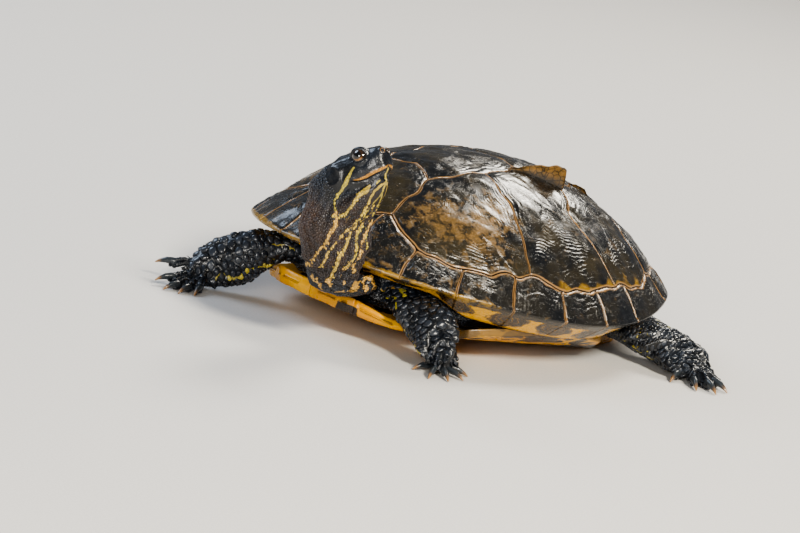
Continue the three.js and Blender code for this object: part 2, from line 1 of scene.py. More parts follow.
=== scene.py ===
"""Finish of a life-size still model of an adult slider turtle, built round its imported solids.

Shapes are worked out in millimetres in the turtle's own frame: +X is its left, -Y its front and
+Z is up, with z = 0 at the floor. The shell is laid out level and then carried at its pitch.
"""
import math

import bpy
import numpy as np
from numpy.linalg import norm
from mathutils import Matrix, Vector
from mathutils.bvhtree import BVHTree
from mathutils.kdtree import KDTree


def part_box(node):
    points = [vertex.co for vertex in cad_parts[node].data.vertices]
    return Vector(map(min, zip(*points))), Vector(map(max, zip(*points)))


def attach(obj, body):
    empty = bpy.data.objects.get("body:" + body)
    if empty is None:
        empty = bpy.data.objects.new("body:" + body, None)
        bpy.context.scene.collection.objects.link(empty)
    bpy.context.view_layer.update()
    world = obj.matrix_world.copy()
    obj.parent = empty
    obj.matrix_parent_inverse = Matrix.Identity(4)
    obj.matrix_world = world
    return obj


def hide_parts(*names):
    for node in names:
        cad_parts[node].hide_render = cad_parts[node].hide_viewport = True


bl_info = {
    "name": "Slider Turtle Model",
    "version": (1, 0, 0),
    "blender": (4, 5, 0),
    "location": "View3D > Sidebar > Turtle",
    "description": "Builds the finish of a life-size still slider turtle",
    "category": "Add Mesh",
}

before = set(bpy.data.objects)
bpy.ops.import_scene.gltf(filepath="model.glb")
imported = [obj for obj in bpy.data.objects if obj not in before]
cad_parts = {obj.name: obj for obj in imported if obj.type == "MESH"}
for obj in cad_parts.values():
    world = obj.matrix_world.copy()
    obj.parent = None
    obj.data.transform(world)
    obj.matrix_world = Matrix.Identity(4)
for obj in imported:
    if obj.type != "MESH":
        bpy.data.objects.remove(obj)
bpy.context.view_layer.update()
MM = 0.001
SIDES = {"left": 1, "right": -1}

# ---- Sizes of the shell, as in the solids ----
CARAPACE_LENGTH = 240.8
CARAPACE_WIDTH = 188.5
CARAPACE_TOP = 81.7
RIM_HEIGHT = {"front": 31.2, "side": 23.9, "rear": 33.6}
RIM_FLARE = {"degrees": 134, "width": 17, "rise": 4.6}
DOME_CENTRE_Y = 4
DOME_POWER = 2.26
RIM_SQUARENESS = 1.05
RIM_EGG = 0.021
PLATE_THICKNESS = 3.6
SHELL_PITCH = math.radians(4)
PITCH_Y = 60
MARGINAL_SEAMS = [6.5, 20.5, 36.2, 51.3, 66.8, 82, 96.1, 109.9, 130.5, 140.5, 154, 167, 180]
# The inner border of the marginals: degrees from the front, and fraction of the way to the rim
RING_DEGREES = [0, 6.5, 22, 36.2, 51.3, 71.8, 89, 105.1, 120.2, 127, 140.5, 157, 167, 180]
RING_REACH = [.868, .875, .762, .885, .905, .865, .9, .862, .9, .868, .89, .858, .89, .9]
UNDERSIDE = {"width": 13.5, "flange": 4.2, "bridge": 10.5, "edge": 1.9, "setback": 0.5}
BRIDGE = {"front": 50, "rear": 112, "blend": 7}
PLASTRON_THICKNESS = 4.4
LIP = {"y": -100, "depth": 15, "rise": 1.8, "swell": 3.6, "swell_from": 79, "swell_to": 96}
BRIDGE_RISE = {"from": 50, "to": 80.5, "height": 12.6, "power": 1.6}

# ---- Sizes of the head, as in the solids ----
HEAD_NOSE = np.array([60, -129.8, 104.3])
HEAD_TURN = math.radians(9.2)
HEAD_LIFT = math.radians(36.4)
EYE_RADIUS = 4.2
EYE_PLACE = (10.8, 6.3, 0.9)         # the right eye, behind the nose, to the side and above it


def unit(vectors):
    vectors = np.asarray(vectors, dtype=float)
    return vectors / np.maximum(norm(vectors, axis=-1, keepdims=True), 1e-12)


def smooth(low, high, value):
    """A smooth step from 0 to 1 as the value goes from low to high."""
    t = np.clip((value - low) / (high - low), 0, 1)
    return t * t * (3 - 2 * t)


def fall(low, high, value):
    return 1 - smooth(low, high, value)


def hump(distance, width):
    """A bell-shaped hump, which is 1 where the distance is 0."""
    return np.exp(-(distance / width) ** 2)


def closeness(points, place, spread):
    """How close the points lie to a place: 1 at the place, and little beyond the spread."""
    return np.exp(-np.sum((points - place) ** 2, axis=1) / spread ** 2)


def head_axes():
    level = np.array([math.cos(HEAD_TURN), math.sin(HEAD_TURN), 0])
    forward = level * math.cos(HEAD_LIFT) + np.array([0, 0, math.sin(HEAD_LIFT)])
    right = np.array([level[1], -level[0], 0])
    return -forward, right, np.cross(right, forward)


HEAD_BACK, HEAD_RIGHT, HEAD_UP = head_axes()


def head_point(back, side, up):
    """A point of the head, given behind the nose, to the head's right and above it."""
    return HEAD_NOSE + back * HEAD_BACK + side * HEAD_RIGHT + up * HEAD_UP


def on_side(place, side):
    """A place of the head's right side, where side is 1, or its twin on the left."""
    return head_point(place[0], place[1] * side, place[2])


def head_local(points):
    offset = points - HEAD_NOSE
    return offset @ HEAD_BACK, offset @ HEAD_RIGHT, offset @ HEAD_UP


def frame_shift():
    """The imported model's origin is the middle of its box: the right eye tells how far it moved."""
    low, high = (np.array(corner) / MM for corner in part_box("eye_right"))
    return (low + high) / 2 - head_point(*EYE_PLACE)


SHIFT = frame_shift()
WAVE_COUNT = 9


def waves(points, size, seed):
    """Smooth noise, mostly within -1 to 1, with features of about the given size."""
    rng = np.random.default_rng(seed)
    points = np.asarray(points, dtype=float)
    total = np.zeros(len(points))
    for _ in range(WAVE_COUNT):
        direction = unit(rng.normal(size=points.shape[1]))
        turns = points @ direction / (size * rng.uniform(1.2, 2.6))
        total += np.sin(2 * math.pi * (turns + rng.uniform()))
    return total * 1.1 / math.sqrt(WAVE_COUNT)


# ---- Meshes ----
def read_rows(items, name, width, kind=np.float64):
    """One row of numbers for each item of a mesh."""
    flat = np.empty(len(items) * width, dtype=kind)
    items.foreach_get(name, flat)
    return flat.reshape(-1, width)


def read_points(mesh):
    return read_rows(mesh.vertices, "co", 3)


def read_triangles(mesh):
    mesh.calc_loop_triangles()
    return read_rows(mesh.loop_triangles, "vertices", 3, np.int32)


def model_points(mesh):
    return read_points(mesh) / MM - SHIFT


def write_points(mesh, points):
    mesh.vertices.foreach_set("co", ((points + SHIFT) * MM).ravel())
    mesh.update()


def read_normals(mesh):
    return read_rows(mesh.vertices, "normal", 3, np.float32).astype(float)


def set_field(mesh, name, values):
    field = mesh.attributes.get(name) or mesh.attributes.new(name, "FLOAT", "POINT")
    field.data.foreach_set("value", np.asarray(values, dtype=np.float32))


def deselect():
    bpy.ops.object.select_all(action="DESELECT")


def activate(piece):
    deselect()
    piece.select_set(True)
    bpy.context.view_layer.objects.active = piece


def inside_out(mesh):
    """Whether the faces of a closed mesh point inwards, told by the sign of its volume."""
    first, second, third = read_points(mesh)[read_triangles(mesh)].transpose(1, 0, 2)
    return np.sum(first * np.cross(second, third)) < 0


def set_mode(mode):
    bpy.ops.object.mode_set(mode=mode)


MERGE_DISTANCE = 1e-6               # metres


def close_up(piece):
    """Merges the points that meet and turns the faces outwards."""
    activate(piece)
    set_mode("EDIT")
    bpy.ops.mesh.select_all(action="SELECT")
    bpy.ops.mesh.remove_doubles(threshold=MERGE_DISTANCE)
    set_mode("OBJECT")
    if inside_out(piece.data):
        piece.data.flip_normals()
    bpy.ops.object.shade_smooth()


def pinch(points, line, ends):
    """Draws the points of a grid's end lines together, so that they merge into closed poles."""
    for end in ends:
        points[line == end] = points[line == end].mean(axis=0)
    return points


def grid_piece(name, columns, rows, shape):
    """Adds a grid and bends it into shape, which maps column and row to points and fields."""
    deselect()
    bpy.ops.mesh.primitive_grid_add(x_subdivisions=columns, y_subdivisions=rows, size=1)
    piece = bpy.context.object
    piece.name = piece.data.name = name
    flat = read_points(piece.data)
    column = np.rint((flat[:, 0] + 0.5) * columns).astype(int)
    row = np.rint((flat[:, 1] + 0.5) * rows).astype(int)
    points, fields = shape(column, row)
    write_points(piece.data, points)
    for field, values in fields.items():
        set_field(piece.data, field, values)
    close_up(piece)
    return piece


def join_pieces(name, pieces):
    activate(pieces[0])
    for piece in pieces:
        piece.select_set(True)
    bpy.ops.object.join()
    joined = bpy.context.object
    joined.name = joined.data.name = name
    return joined


def fit_out(piece, material, slot, *nodes):
    """Gives a piece its finish, hides the solids that it stands for and lets it ride on the body."""
    piece.data.materials.clear()
    piece.data.materials.append(material)
    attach(piece, "root")
    if nodes:
        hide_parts(*nodes)


# ---- The carapace surface ----
def rim_point(degrees):
    angle = np.radians(degrees)
    s, c = np.sin(angle), np.cos(angle)
    x = CARAPACE_WIDTH / 2 * np.sign(s) * np.abs(s) ** RIM_SQUARENESS * (1 - RIM_EGG * c)
    side = RIM_HEIGHT["side"]
    z = (side + (RIM_HEIGHT["front"] - side) * np.maximum(c, 0) ** 1.5
         + (RIM_HEIGHT["rear"] - side) * np.maximum(-c, 0) ** 1.5
         + RIM_FLARE["rise"] * hump(degrees - RIM_FLARE["degrees"], RIM_FLARE["width"]))
    return x, -CARAPACE_LENGTH / 2 * c, z


def plan_point(degrees, reach):
    x, y, _ = rim_point(degrees)
    return np.column_stack([x * reach, DOME_CENTRE_Y + (y - DOME_CENTRE_Y) * reach])


def ring_reach(degrees):
    return np.interp(degrees, RING_DEGREES, RING_REACH)


def polar(x, y):
    """Which way along the rim a plan point lies, in degrees, and how far out."""
    low, high = np.zeros(len(x)), np.full(len(x), 180.0)
    for _ in range(26):
        middle = (low + high) / 2
        rx, ry, _ = rim_point(middle)
        past = rx * (y - DOME_CENTRE_Y) - (ry - DOME_CENTRE_Y) * np.abs(x) < 0
        high = np.where(past, middle, high)
        low = np.where(past, low, middle)
    rx, ry, _ = rim_point(low)
    return low, np.hypot(x, y - DOME_CENTRE_Y) / np.hypot(rx, ry - DOME_CENTRE_Y)


def dome_height(x, y):
    degrees, reach = polar(x, y)
    rim = rim_point(degrees)[2]
    return rim + (CARAPACE_TOP - rim) * (1 - reach ** DOME_POWER)


def dome_point(plan, depth):
    """Points of the dome over a plan, moved inwards along its own normal."""
    x, y = plan[:, 0], plan[:, 1]
    step = 0.4
    slope_x = (dome_height(x + step, y) - dome_height(x - step, y)) / (2 * step)
    slope_y = (dome_height(x, y + step) - dome_height(x, y - step)) / (2 * step)
    normal = unit(np.column_stack([-slope_x, -slope_y, np.ones(len(x))]))
    return np.column_stack([x, y, dome_height(x, y)]) - normal * np.reshape(depth, (-1, 1))


def carry(points, pitch=SHELL_PITCH):
    """Takes points of the level shell to where the pitched shell holds them."""
    y, z = points[:, 1] - PITCH_Y, points[:, 2]
    s, c = math.sin(pitch), math.cos(pitch)
    return np.column_stack([points[:, 0], PITCH_Y + y * c + z * s, z * c - y * s])


def wander(plan, share=1):
    """Makes seams wind a little: neighbours wander alike, so they still meet."""
    amount = 0.75 * np.reshape(share, (-1, 1))
    bend = np.column_stack([waves(plan, 9, 21), waves(plan, 9, 22)])
    return plan + bend * amount


# ---- Seams of the left half, in plan ----
SEAMS = {
    "first_side": [[22, -67.5], [17.3, -56.7]],
    "one_two": [[17.3, -56.7], [8, -52.6], [0, -50.5]],
    "second_front": [[17.3, -56.7], [20.2, -35.3], [22.9, -22.5]],
    "second_rear": [[22.9, -22.5], [20, -8], [15.7, 3]],
    "two_three": [[15.7, 3], [8, 5.2], [0, 4.5]],
    "third_front": [[15.7, 3], [22, 14], [26, 26]],
    "third_rear": [[26, 26], [22.5, 38], [17, 48]],
    "three_four": [[17, 48], [8, 47.8], [0, 47]],
    "fourth_front": [[17, 48], [22, 57], [25, 66]],
    "fourth_rear": [[25, 66], [19, 75], [12, 81]],
    "four_five": [[12, 81], [6, 80.6], [0, 80]],
    "costal_one_two": [[22.9, -22.5], [36.7, -25.9], [53.6, -26.4], [70, -29.3]],
    "costal_two_three": [[26, 26], [41, 20], [55.2, 16.5], [68.8, 24]],
    "costal_three_four": [[25, 66], [40, 60], [55, 63]],
}
STOPS = {"middle": 0, "first": 22, "one_two": 71.8, "two_three": 105.1, "three_four": 127,
         "fifth": 157, "last": 180}
# Seams that run on to the inner border of the marginals, and the stop that they reach
REACHES = {"first_side": "first", "costal_one_two": "one_two", "costal_two_three": "two_three",
           "costal_three_four": "three_four"}
VERTEBRALS = {
    "vertebral_1": (["ring middle first", "first_side", "one_two"], [0, -76]),
    "vertebral_2": (["one_two", "second_front", "second_rear", "two_three"], [0, -24]),
    "vertebral_3": (["two_three", "third_front", "third_rear", "three_four"], [0, 25]),
    "vertebral_4": (["three_four", "fourth_front", "fourth_rear", "four_five"], [0, 64]),
    "vertebral_5": (["four_five", "fifth_side", "ring fifth last"], [0, 93]),
}
COSTALS = {
    "1": (["ring first one_two", "costal_one_two", "second_front", "first_side"], [44, -58]),
    "2": (["ring one_two two_three", "costal_two_three", "third_front", "second_rear",
           "costal_one_two"], [48, -5]),
    "3": (["ring two_three three_four", "costal_three_four", "fourth_front", "third_rear",
           "costal_two_three"], [46, 40]),
    "4": (["ring three_four fifth", "fifth_side", "fourth_rear", "costal_three_four"], [37, 78]),
}
PLATE_STEP = 1.1
SEAM_INSET = 0.07
SEAM_ROUND = 0.4
# Rows of a plate's top, of its side and of its underside
CARAPACE_ROWS = (34, 2, 5)
PLASTRON_ROWS = (16, 4, 28)


def spline(points, step):
    """A smooth curve through the points, sampled at about the given step."""
    points = np.asarray(points, dtype=float)
    padded = np.vstack([2 * points[0] - points[1], points, 2 * points[-1] - points[-2]])
    out = []
    for i in range(1, len(padded) - 2):
        p0, p1, p2, p3 = padded[i - 1:i + 3]
        count = max(1, round(float(norm((p2 - p1)[:3])) / step))
        t = (np.arange(count) / count)[:, None]
        out.append(0.5 * (2 * p1 + (p2 - p0) * t + (2 * p0 - 5 * p1 + 4 * p2 - p3) * t ** 2
                          + (3 * p1 - p0 - 3 * p2 + p3) * t ** 3))
    return np.vstack(out + [points[-1:]])


def seam_run(name):
    """One side of a plate, in plan: a seam, or a stretch of the marginals' inner border."""
    if name.startswith("ring "):
        start, end = (STOPS[stop] for stop in name.split()[1:])
        degrees = np.linspace(start, end, max(8, round((end - start) * 1.4)))
        return plan_point(degrees, ring_reach(degrees))
    if name == "fifth_side":
        far = plan_point(np.array([STOPS["fifth"]]), ring_reach(STOPS["fifth"]))
        return spline(np.vstack([[[12, 81]], far]), PLATE_STEP)
    points = np.array(SEAMS[name], dtype=float)
    if name in REACHES:
        degrees = STOPS[REACHES[name]]
        end = plan_point(np.array([degrees]), ring_reach(degrees))
        points = np.vstack([end, points]) if name == "first_side" else np.vstack([points, end])
    return spline(points, PLATE_STEP)


def chain(runs):
    """Joins the runs end to end, turning each one round where it needs it."""
    def gap(a, b):
        return norm(a - b)
    first, second = runs[0], runs[1]
    if min(gap(first[0], second[0]), gap(first[0], second[-1])) < 1e-6:
        first = first[::-1]
    out = [first]
    for run in runs[1:]:
        if gap(out[-1][-1], run[0]) > gap(out[-1][-1], run[-1]):
            run = run[::-1]
        out.append(run)
    return out


def even(points, step):
    """Samples an open run again at an even step, ends kept."""
    along = np.concatenate([[0], np.cumsum(norm(np.diff(points, axis=0), axis=1))])
    at = np.linspace(0, along[-1], max(2, round(along[-1] / step)) + 1)
    return np.column_stack([np.interp(at, along, points[:, axis]) for axis in range(points.shape[1])])


def outline(runs):
    return np.vstack([even(run, PLATE_STEP)[:-1] for run in chain(runs)])


def mirrored_outline(runs):
    """The outline of a plate that crosses the middle, from the runs of its left half."""
    runs = chain(runs)
    half = np.vstack([even(run, PLATE_STEP)[:-1] for run in runs] + [runs[-1][-1:]])
    return np.vstack([half, (half * [[-1, 1]])[::-1][1:-1]])


def inset(edge, distance):
    """Moves every point of a closed outline inwards."""
    before, after = np.roll(edge, 1, axis=0), np.roll(edge, -1, axis=0)
    turned = np.sum(edge[:, 0] * after[:, 1] - after[:, 0] * edge[:, 1]) > 0
    along = unit(after - before)
    inwards = np.column_stack([-along[:, 1], along[:, 0]]) * (1 if turned else -1)
    return edge + inwards * distance


def edge_round(distance, radius):
    """How far a rounded edge lies under its plate's surface."""
    t = 1 - np.clip(distance / radius, 0, 1)
    return radius * (1 - np.sqrt(1 - t * t))


EASE = 1.45
NO_SEAM = 8                         # added to a free edge's distance, as no seam runs along it


def polar_plate(name, edge, centre, top, under, rows, radius, fields):
    """A plate of rings that shrink to its centre on top, round its edge and again underneath."""
    columns = len(edge)
    top_rows, side_rows, under_rows = rows
    reach = norm(edge - centre, axis=1)

    def shape(column, row):
        i = column % columns
        above = np.clip(row / top_rows, 0, 1)
        below = np.clip((row - top_rows - side_rows) / under_rows, 0, 1)
        share = np.where(row <= top_rows, 1 - (1 - above) ** EASE, 1 - below ** EASE)
        wall = np.clip((row - top_rows) / side_rows, 0, 1)
        distance = (1 - share) * reach[i]
        plan = centre + (edge[i] - centre) * share[:, None]
        sink = edge_round(distance, radius[i])
        upper, lower = top(plan, distance, sink), under(plan, distance, sink)
        mix = wall[:, None]
        from_seam = distance + np.where(radius[i] > 1, NO_SEAM, 0)
        points = pinch(upper * (1 - mix) + lower * mix, row, (0, sum(rows)))
        return carry(points), fields(plan, from_seam, wall)

    return grid_piece(name, columns, sum(rows), shape)


# ---- Relief and stains of the horn ----
def horn_relief(plan, distance):
    """Broad and fine unevenness of the horn, with ridges that follow its seams, in millimetres."""
    ridges = np.sin(2 * math.pi * (distance / 2.6 + 0.4 * waves(plan, 12, 31)))
    ridges *= 0.12 * smooth(0.6, 1.6, distance) * fall(4, 9, distance)
    valley = -0.75 * np.exp(-np.maximum(distance, 0) / 3.2)
    uneven = 0.36 * waves(plan, 14, 33) + 0.1 * waves(plan, 4.5, 34) + 0.04 * waves(plan, 2.4, 35)
    return ridges + valley + uneven


def near(plan, x, y, spread):
    return np.exp(-((np.abs(plan[:, 0]) - x) ** 2 + (plan[:, 1] - y) ** 2) / spread ** 2)


def low_stain(plan):
    """Where yellow shows low on the second and third costals, just above the marginals."""
    degrees, reach = polar(plan[:, 0], plan[:, 1])
    gap = (ring_reach(degrees) - reach) * CARAPACE_WIDTH / 2
    run = smooth(76, 84, degrees) * fall(116, 124, degrees)
    return run * fall(0.3, 5, gap + 1.8 * waves(plan, 6, 38))


def ring_strength(plan):
    """How strongly growth rings show: most on the rear of the second costal and the third."""
    return (0.35 + 0.65 * near(plan, 60, 12, 20) + 0.8 * near(plan, 45, 42, 22)
            + 0.3 * near(plan, 12, 25, 25))


def carapace_fields(plan, distance, _wall):
    tan = (0.75 * near(plan, 38, -70, 14) + 0.8 * near(plan, 55, -50, 17) + 0.55 * near(plan, 48, -34, 12)
           + 0.2 * near(plan, 42, 8, 18) + 0.35 * near(plan, 62, 38, 10))
    return {"edge": distance, "tan": tan, "yellow": low_stain(plan), "rings": ring_strength(plan)}


def build_carapace_plate(name, edge, centre, material):
    radius = np.full(len(edge), SEAM_ROUND)

    def top(plan, distance, sink):
        return dome_point(plan, sink - horn_relief(plan, distance))

    def under(plan, _distance, sink):
        return dome_point(plan, PLATE_THICKNESS - sink)

    edge = inset(wander(edge), SEAM_INSET)
    piece = polar_plate(name + "_plate", edge, np.array(centre, dtype=float), top, under,
                        CARAPACE_ROWS, radius, carapace_fields)
    fit_out(piece, material, "carapace_horn", name)


# ---- Marginals ----
def bridge_share(degrees):
    blend = BRIDGE["blend"]
    return (smooth(BRIDGE["front"] - blend, BRIDGE["front"] + blend, degrees)
            * fall(BRIDGE["rear"] - blend, BRIDGE["rear"] + blend, degrees))


# Where the top, rim and underside of a marginal's section end, as shares of the way round it
TOP_END, RIM_END, UNDER_END = 0.5, 0.57, 0.86
RIM_CROWDING = 0.85                 # below 1 the rows of the top lie closer towards the rim


def marginal_top(degrees, side, out, distance):
    """The top of a marginal, from the inner border, where out is 0, to the rim."""
    reach = ring_reach(degrees) + (1 - ring_reach(degrees)) * out
    plan = plan_point(degrees, reach)
    plan[:, 0] *= side
    plan = wander(plan, 1 - out)
    relief = horn_relief(plan, distance) * (1 - 0.8 * smooth(0.9, 1, out))
    return dome_point(plan, edge_round(distance, SEAM_ROUND) - relief)


def marginal_under(degrees, side, part):
    """The underside of a marginal, from the rim, where part is 0, to the bridge or the skin."""
    rx, ry, rz = rim_point(degrees)
    share = bridge_share(degrees)
    inwards = unit(np.column_stack([-rx, DOME_CENTRE_Y - ry]))
    run = (UNDERSIDE["width"] * part + UNDERSIDE["setback"])[:, None]
    level = np.column_stack([rx, ry]) + inwards * run
    depth = UNDERSIDE["flange"] + (UNDERSIDE["bridge"] - UNDERSIDE["flange"]) * share
    hollow = 0.9 * np.sin(math.pi * part) * (1 - share)
    height = rz - UNDERSIDE["edge"] - depth * part + hollow
    return np.column_stack([level[:, 0] * side, level[:, 1], height])


def marginal_point(degrees, side, t, distance):
    """Points of a marginal's section, whose t runs over the top, rim, underside and back."""
    nothing = np.zeros(len(t))
    top = marginal_top(degrees, side, np.clip(t / TOP_END, 0, 1) ** RIM_CROWDING, distance)
    part = np.clip((t - RIM_END) / (UNDER_END - RIM_END), 0, 1)
    under = marginal_under(degrees, side, part)
    turn = np.clip((t - TOP_END) / (RIM_END - TOP_END), 0, 1)[:, None]
    rim = marginal_top(degrees, side, nothing + 1, distance)
    edge = rim * (1 - turn) + marginal_under(degrees, side, nothing) * turn
    edge += unit(edge * [1, 1, 0]) * 0.55 * np.sin(math.pi * turn)
    inner = plan_point(degrees, ring_reach(degrees)) * np.column_stack([side, nothing + 1])
    roof = dome_point(wander(inner), PLATE_THICKNESS)
    rise = np.clip((t - UNDER_END) / (1 - UNDER_END), 0, 1)[:, None]
    low, high = np.clip(rise / 0.7, 0, 1), np.clip((rise - 0.7) / 0.3, 0, 1)
    back = marginal_under(degrees, side, nothing + 1) * (1 - low) + roof * low
    back += (marginal_top(degrees, side, nothing, distance) - roof) * high
    band = np.digitize(t, [TOP_END, RIM_END, UNDER_END])[:, None]
    return np.choose(band, [top, edge, under, back])


MARGINAL_ROWS = 54


def build_marginal(name, start, end, side, material):
    span = abs(end - start) * math.pi / 180 * CARAPACE_WIDTH / 2 * 1.12
    columns = max(12, round(span / PLATE_STEP)) + 2

    def shape(column, row):
        along = np.clip((column - 1) / (columns - 2), SEAM_INSET / span, 1 - SEAM_INSET / span)
        signed = start + (end - start) * along
        degrees, here = np.abs(signed), np.where(signed < 0, -1, 1) * side
        t = (row / MARGINAL_ROWS) % 1
        from_seam = np.minimum(along, 1 - along) * span
        from_ring = t / TOP_END * (1 - ring_reach(degrees)) * CARAPACE_WIDTH / 2
        distance = np.where(t < TOP_END, np.minimum(from_ring, from_seam), from_seam)
        distance = np.where(t > UNDER_END, 0, distance)
        points = marginal_point(degrees, here, t, distance)
        for cap, beside in ((0, 1), (columns, columns - 1)):
            points[column == cap] = points[column == beside].mean(axis=0)
        front = smooth(30, 75, -points[:, 1]) * (degrees < 75)
        fields = {
            "edge": distance, "seam": from_seam, "tan": 0.45 * front, "yellow": np.zeros(len(t)),
            "rings": 0.4 * fall(0.3, 0.45, t),
            "rim": smooth(0.4, 0.5, t) * (t < RIM_END + 0.06) * (0.3 + 0.7 * fall(45, 90, degrees)),
            "under": smooth(RIM_END, RIM_END + 0.12, t) * fall(UNDER_END, 1, t),
            "part": np.clip((t - RIM_END) / (UNDER_END - RIM_END), 0, 1),
        }
        return carry(points), fields

    piece = grid_piece(name + "_plate", columns, MARGINAL_ROWS, shape)
    fit_out(piece, material, "marginal_horn", name)


# ---- Plastron ----
def plastron_under(plan):
    x, y = np.abs(plan[:, 0]), plan[:, 1]
    lip = LIP["rise"] * smooth(-LIP["y"] - LIP["depth"], -LIP["y"], -y)
    tail = np.maximum(0, math.tan(SHELL_PITCH) * (y - PITCH_Y))
    across = np.clip((x - BRIDGE_RISE["from"]) / (BRIDGE_RISE["to"] - BRIDGE_RISE["from"]), 0, 1)
    return lip + tail + BRIDGE_RISE["height"] * across ** BRIDGE_RISE["power"]


def plastron_top(plan):
    swell = LIP["swell"] * smooth(LIP["swell_from"], LIP["swell_to"], -plan[:, 1])
    return plastron_under(plan) + PLASTRON_THICKNESS + swell


def bridge_edge(start, end):
    rx, ry, _ = rim_point(np.linspace(start, end, 24))
    inwards = unit(np.column_stack([-rx, DOME_CENTRE_Y - ry]))
    run = UNDERSIDE["width"] + UNDERSIDE["setback"] + 0.35
    return np.column_stack([rx, ry]) + inwards * run


LOBE = {
    "gular_front": [[0, -99], [8, -100.2], [14, -100], [22, -98.2], [28, -94.8]],
    "humeral_side": [[28, -94.8], [40, -88], [49, -76], [51.5, -64]],
    "axilla": [[51.5, -64], [49, -57], [57, -54]],
    "inguinal": [[57, 47], [49, 52]],
    "femoral_side": [[49, 52], [49.5, 64], [44, 80]],
    "anal_side": [[44, 80], [36, 92], [22, 102], [7, 106], [0, 102.5]],
    "gular_seam": [[28, -94.8], [14, -86], [0, -80]],
    "humeral_seam": [[51.5, -64], [25, -60], [0, -58]],
    "pectoral_seam": [[26, -20.5], [0, -20]],
    "abdominal_seam": [[49, 52], [24, 40], [0, 32]],
    "femoral_seam": [[44, 80], [22, 73], [0, 62]],
    "gular_middle": [[0, -99], [0, -80]],
    "humeral_middle": [[0, -80], [0, -58]],
    "pectoral_middle": [[0, -58], [0, -20]],
    "abdominal_middle": [[0, -20], [0, 32]],
    "femoral_middle": [[0, 32], [0, 62]],
    "anal_middle": [[0, 62], [0, 102.5]],
}
BRIDGE_STOPS = {"front": 58, "middle": 78.5, "rear": 108}
# Each plate's sides, the free ones marked, and the centre of its growth
PLASTRON = {
    "gular": (["gular_front*", "gular_seam", "gular_middle"], [11, -92]),
    "humeral": (["humeral_side*", "humeral_seam", "humeral_middle", "gular_seam"], [25, -73]),
    "pectoral": (["axilla*", "bridge_front", "pectoral_seam", "pectoral_middle", "humeral_seam"],
                 [32, -38]),
    "abdominal": (["bridge_rear", "inguinal*", "abdominal_seam", "abdominal_middle",
                   "pectoral_seam"], [34, 10]),
    "femoral": (["femoral_side*", "femoral_seam", "femoral_middle", "abdominal_seam"], [24, 58]),
    "anal": (["anal_side*", "anal_middle", "femoral_seam"], [16, 86]),
}
FREE_ROUND = 2.1


def plastron_run(name):
    if name == "bridge_front":
        return np.vstack([[[57, -54]], bridge_edge(BRIDGE_STOPS["front"], BRIDGE_STOPS["middle"])])
    if name == "bridge_rear":
        return np.vstack([bridge_edge(BRIDGE_STOPS["middle"], BRIDGE_STOPS["rear"]), [[57, 47]]])
    points = LOBE[name]
    if name == "pectoral_seam":
        end = bridge_edge(BRIDGE_STOPS["middle"], BRIDGE_STOPS["middle"])[:1]
        points = np.vstack([end, points])
    return spline(points, PLATE_STEP)


def plastron_relief(plan, distance):
    lines = distance / 2.1 + 0.5 * waves(plan, 18, 41)
    strength = smooth(0, 1, waves(plan, 20, 42))
    return 0.05 * np.sin(2 * math.pi * lines) * strength + 0.12 * waves(plan, 9, 43)


def build_plastron_plate(name, word, side, material):
    names, centre = PLASTRON[name]
    runs = chain([plastron_run(run.rstrip("*")) for run in names])
    sampled = [even(run, PLATE_STEP)[:-1] for run in runs]
    edge = np.vstack(sampled) * [[side, 1]]
    free = np.concatenate([np.full(len(run), title.endswith("*")) for run, title in zip(sampled, names)])
    kernel = np.ones(5) / 5
    soft = np.convolve(np.concatenate([free[-2:], free, free[:2]]).astype(float), kernel, "valid")
    radius = 0.45 + (FREE_ROUND - 0.45) * soft

    def rounding(plan, sink):
        lift = (plastron_top(plan) - plastron_under(plan)) / 2 - 0.05
        return np.minimum(sink * np.where(sink > 0.5, lift / FREE_ROUND, 1), lift)

    def top(plan, _distance, sink):
        return np.column_stack([plan, plastron_top(plan) - rounding(plan, sink)])

    def under(plan, distance, sink):
        relief = np.maximum(0, 0.18 - plastron_relief(plan, distance))
        return np.column_stack([plan, plastron_under(plan) + rounding(plan, sink) + relief])

    def fields(plan, distance, wall):
        blot = near(plan, abs(centre[0]) + 2, centre[1] + 3, 9) * (name != "gular")
        # Dark on the lower face of the left front lip: partly the animal's own mark, partly painted shade
        # under the lip
        lip_mark_and_shade = near(plan, 24, -95, 6) * (side > 0) * 1.4 * smooth(0.3, 0.6, wall)
        bridge = smooth(50, 62, np.abs(plan[:, 0]))
        return {"edge": distance, "blot": blot + lip_mark_and_shade, "bridge": bridge}

    edge = inset(edge, SEAM_INSET)
    node = name + "_" + word
    middle = np.array([centre[0] * side, centre[1]], dtype=float)
    piece = polar_plate(node + "_plate", edge, middle, top, under, PLASTRON_ROWS, radius, fields)
    fit_out(piece, material, "plastron_horn", node)


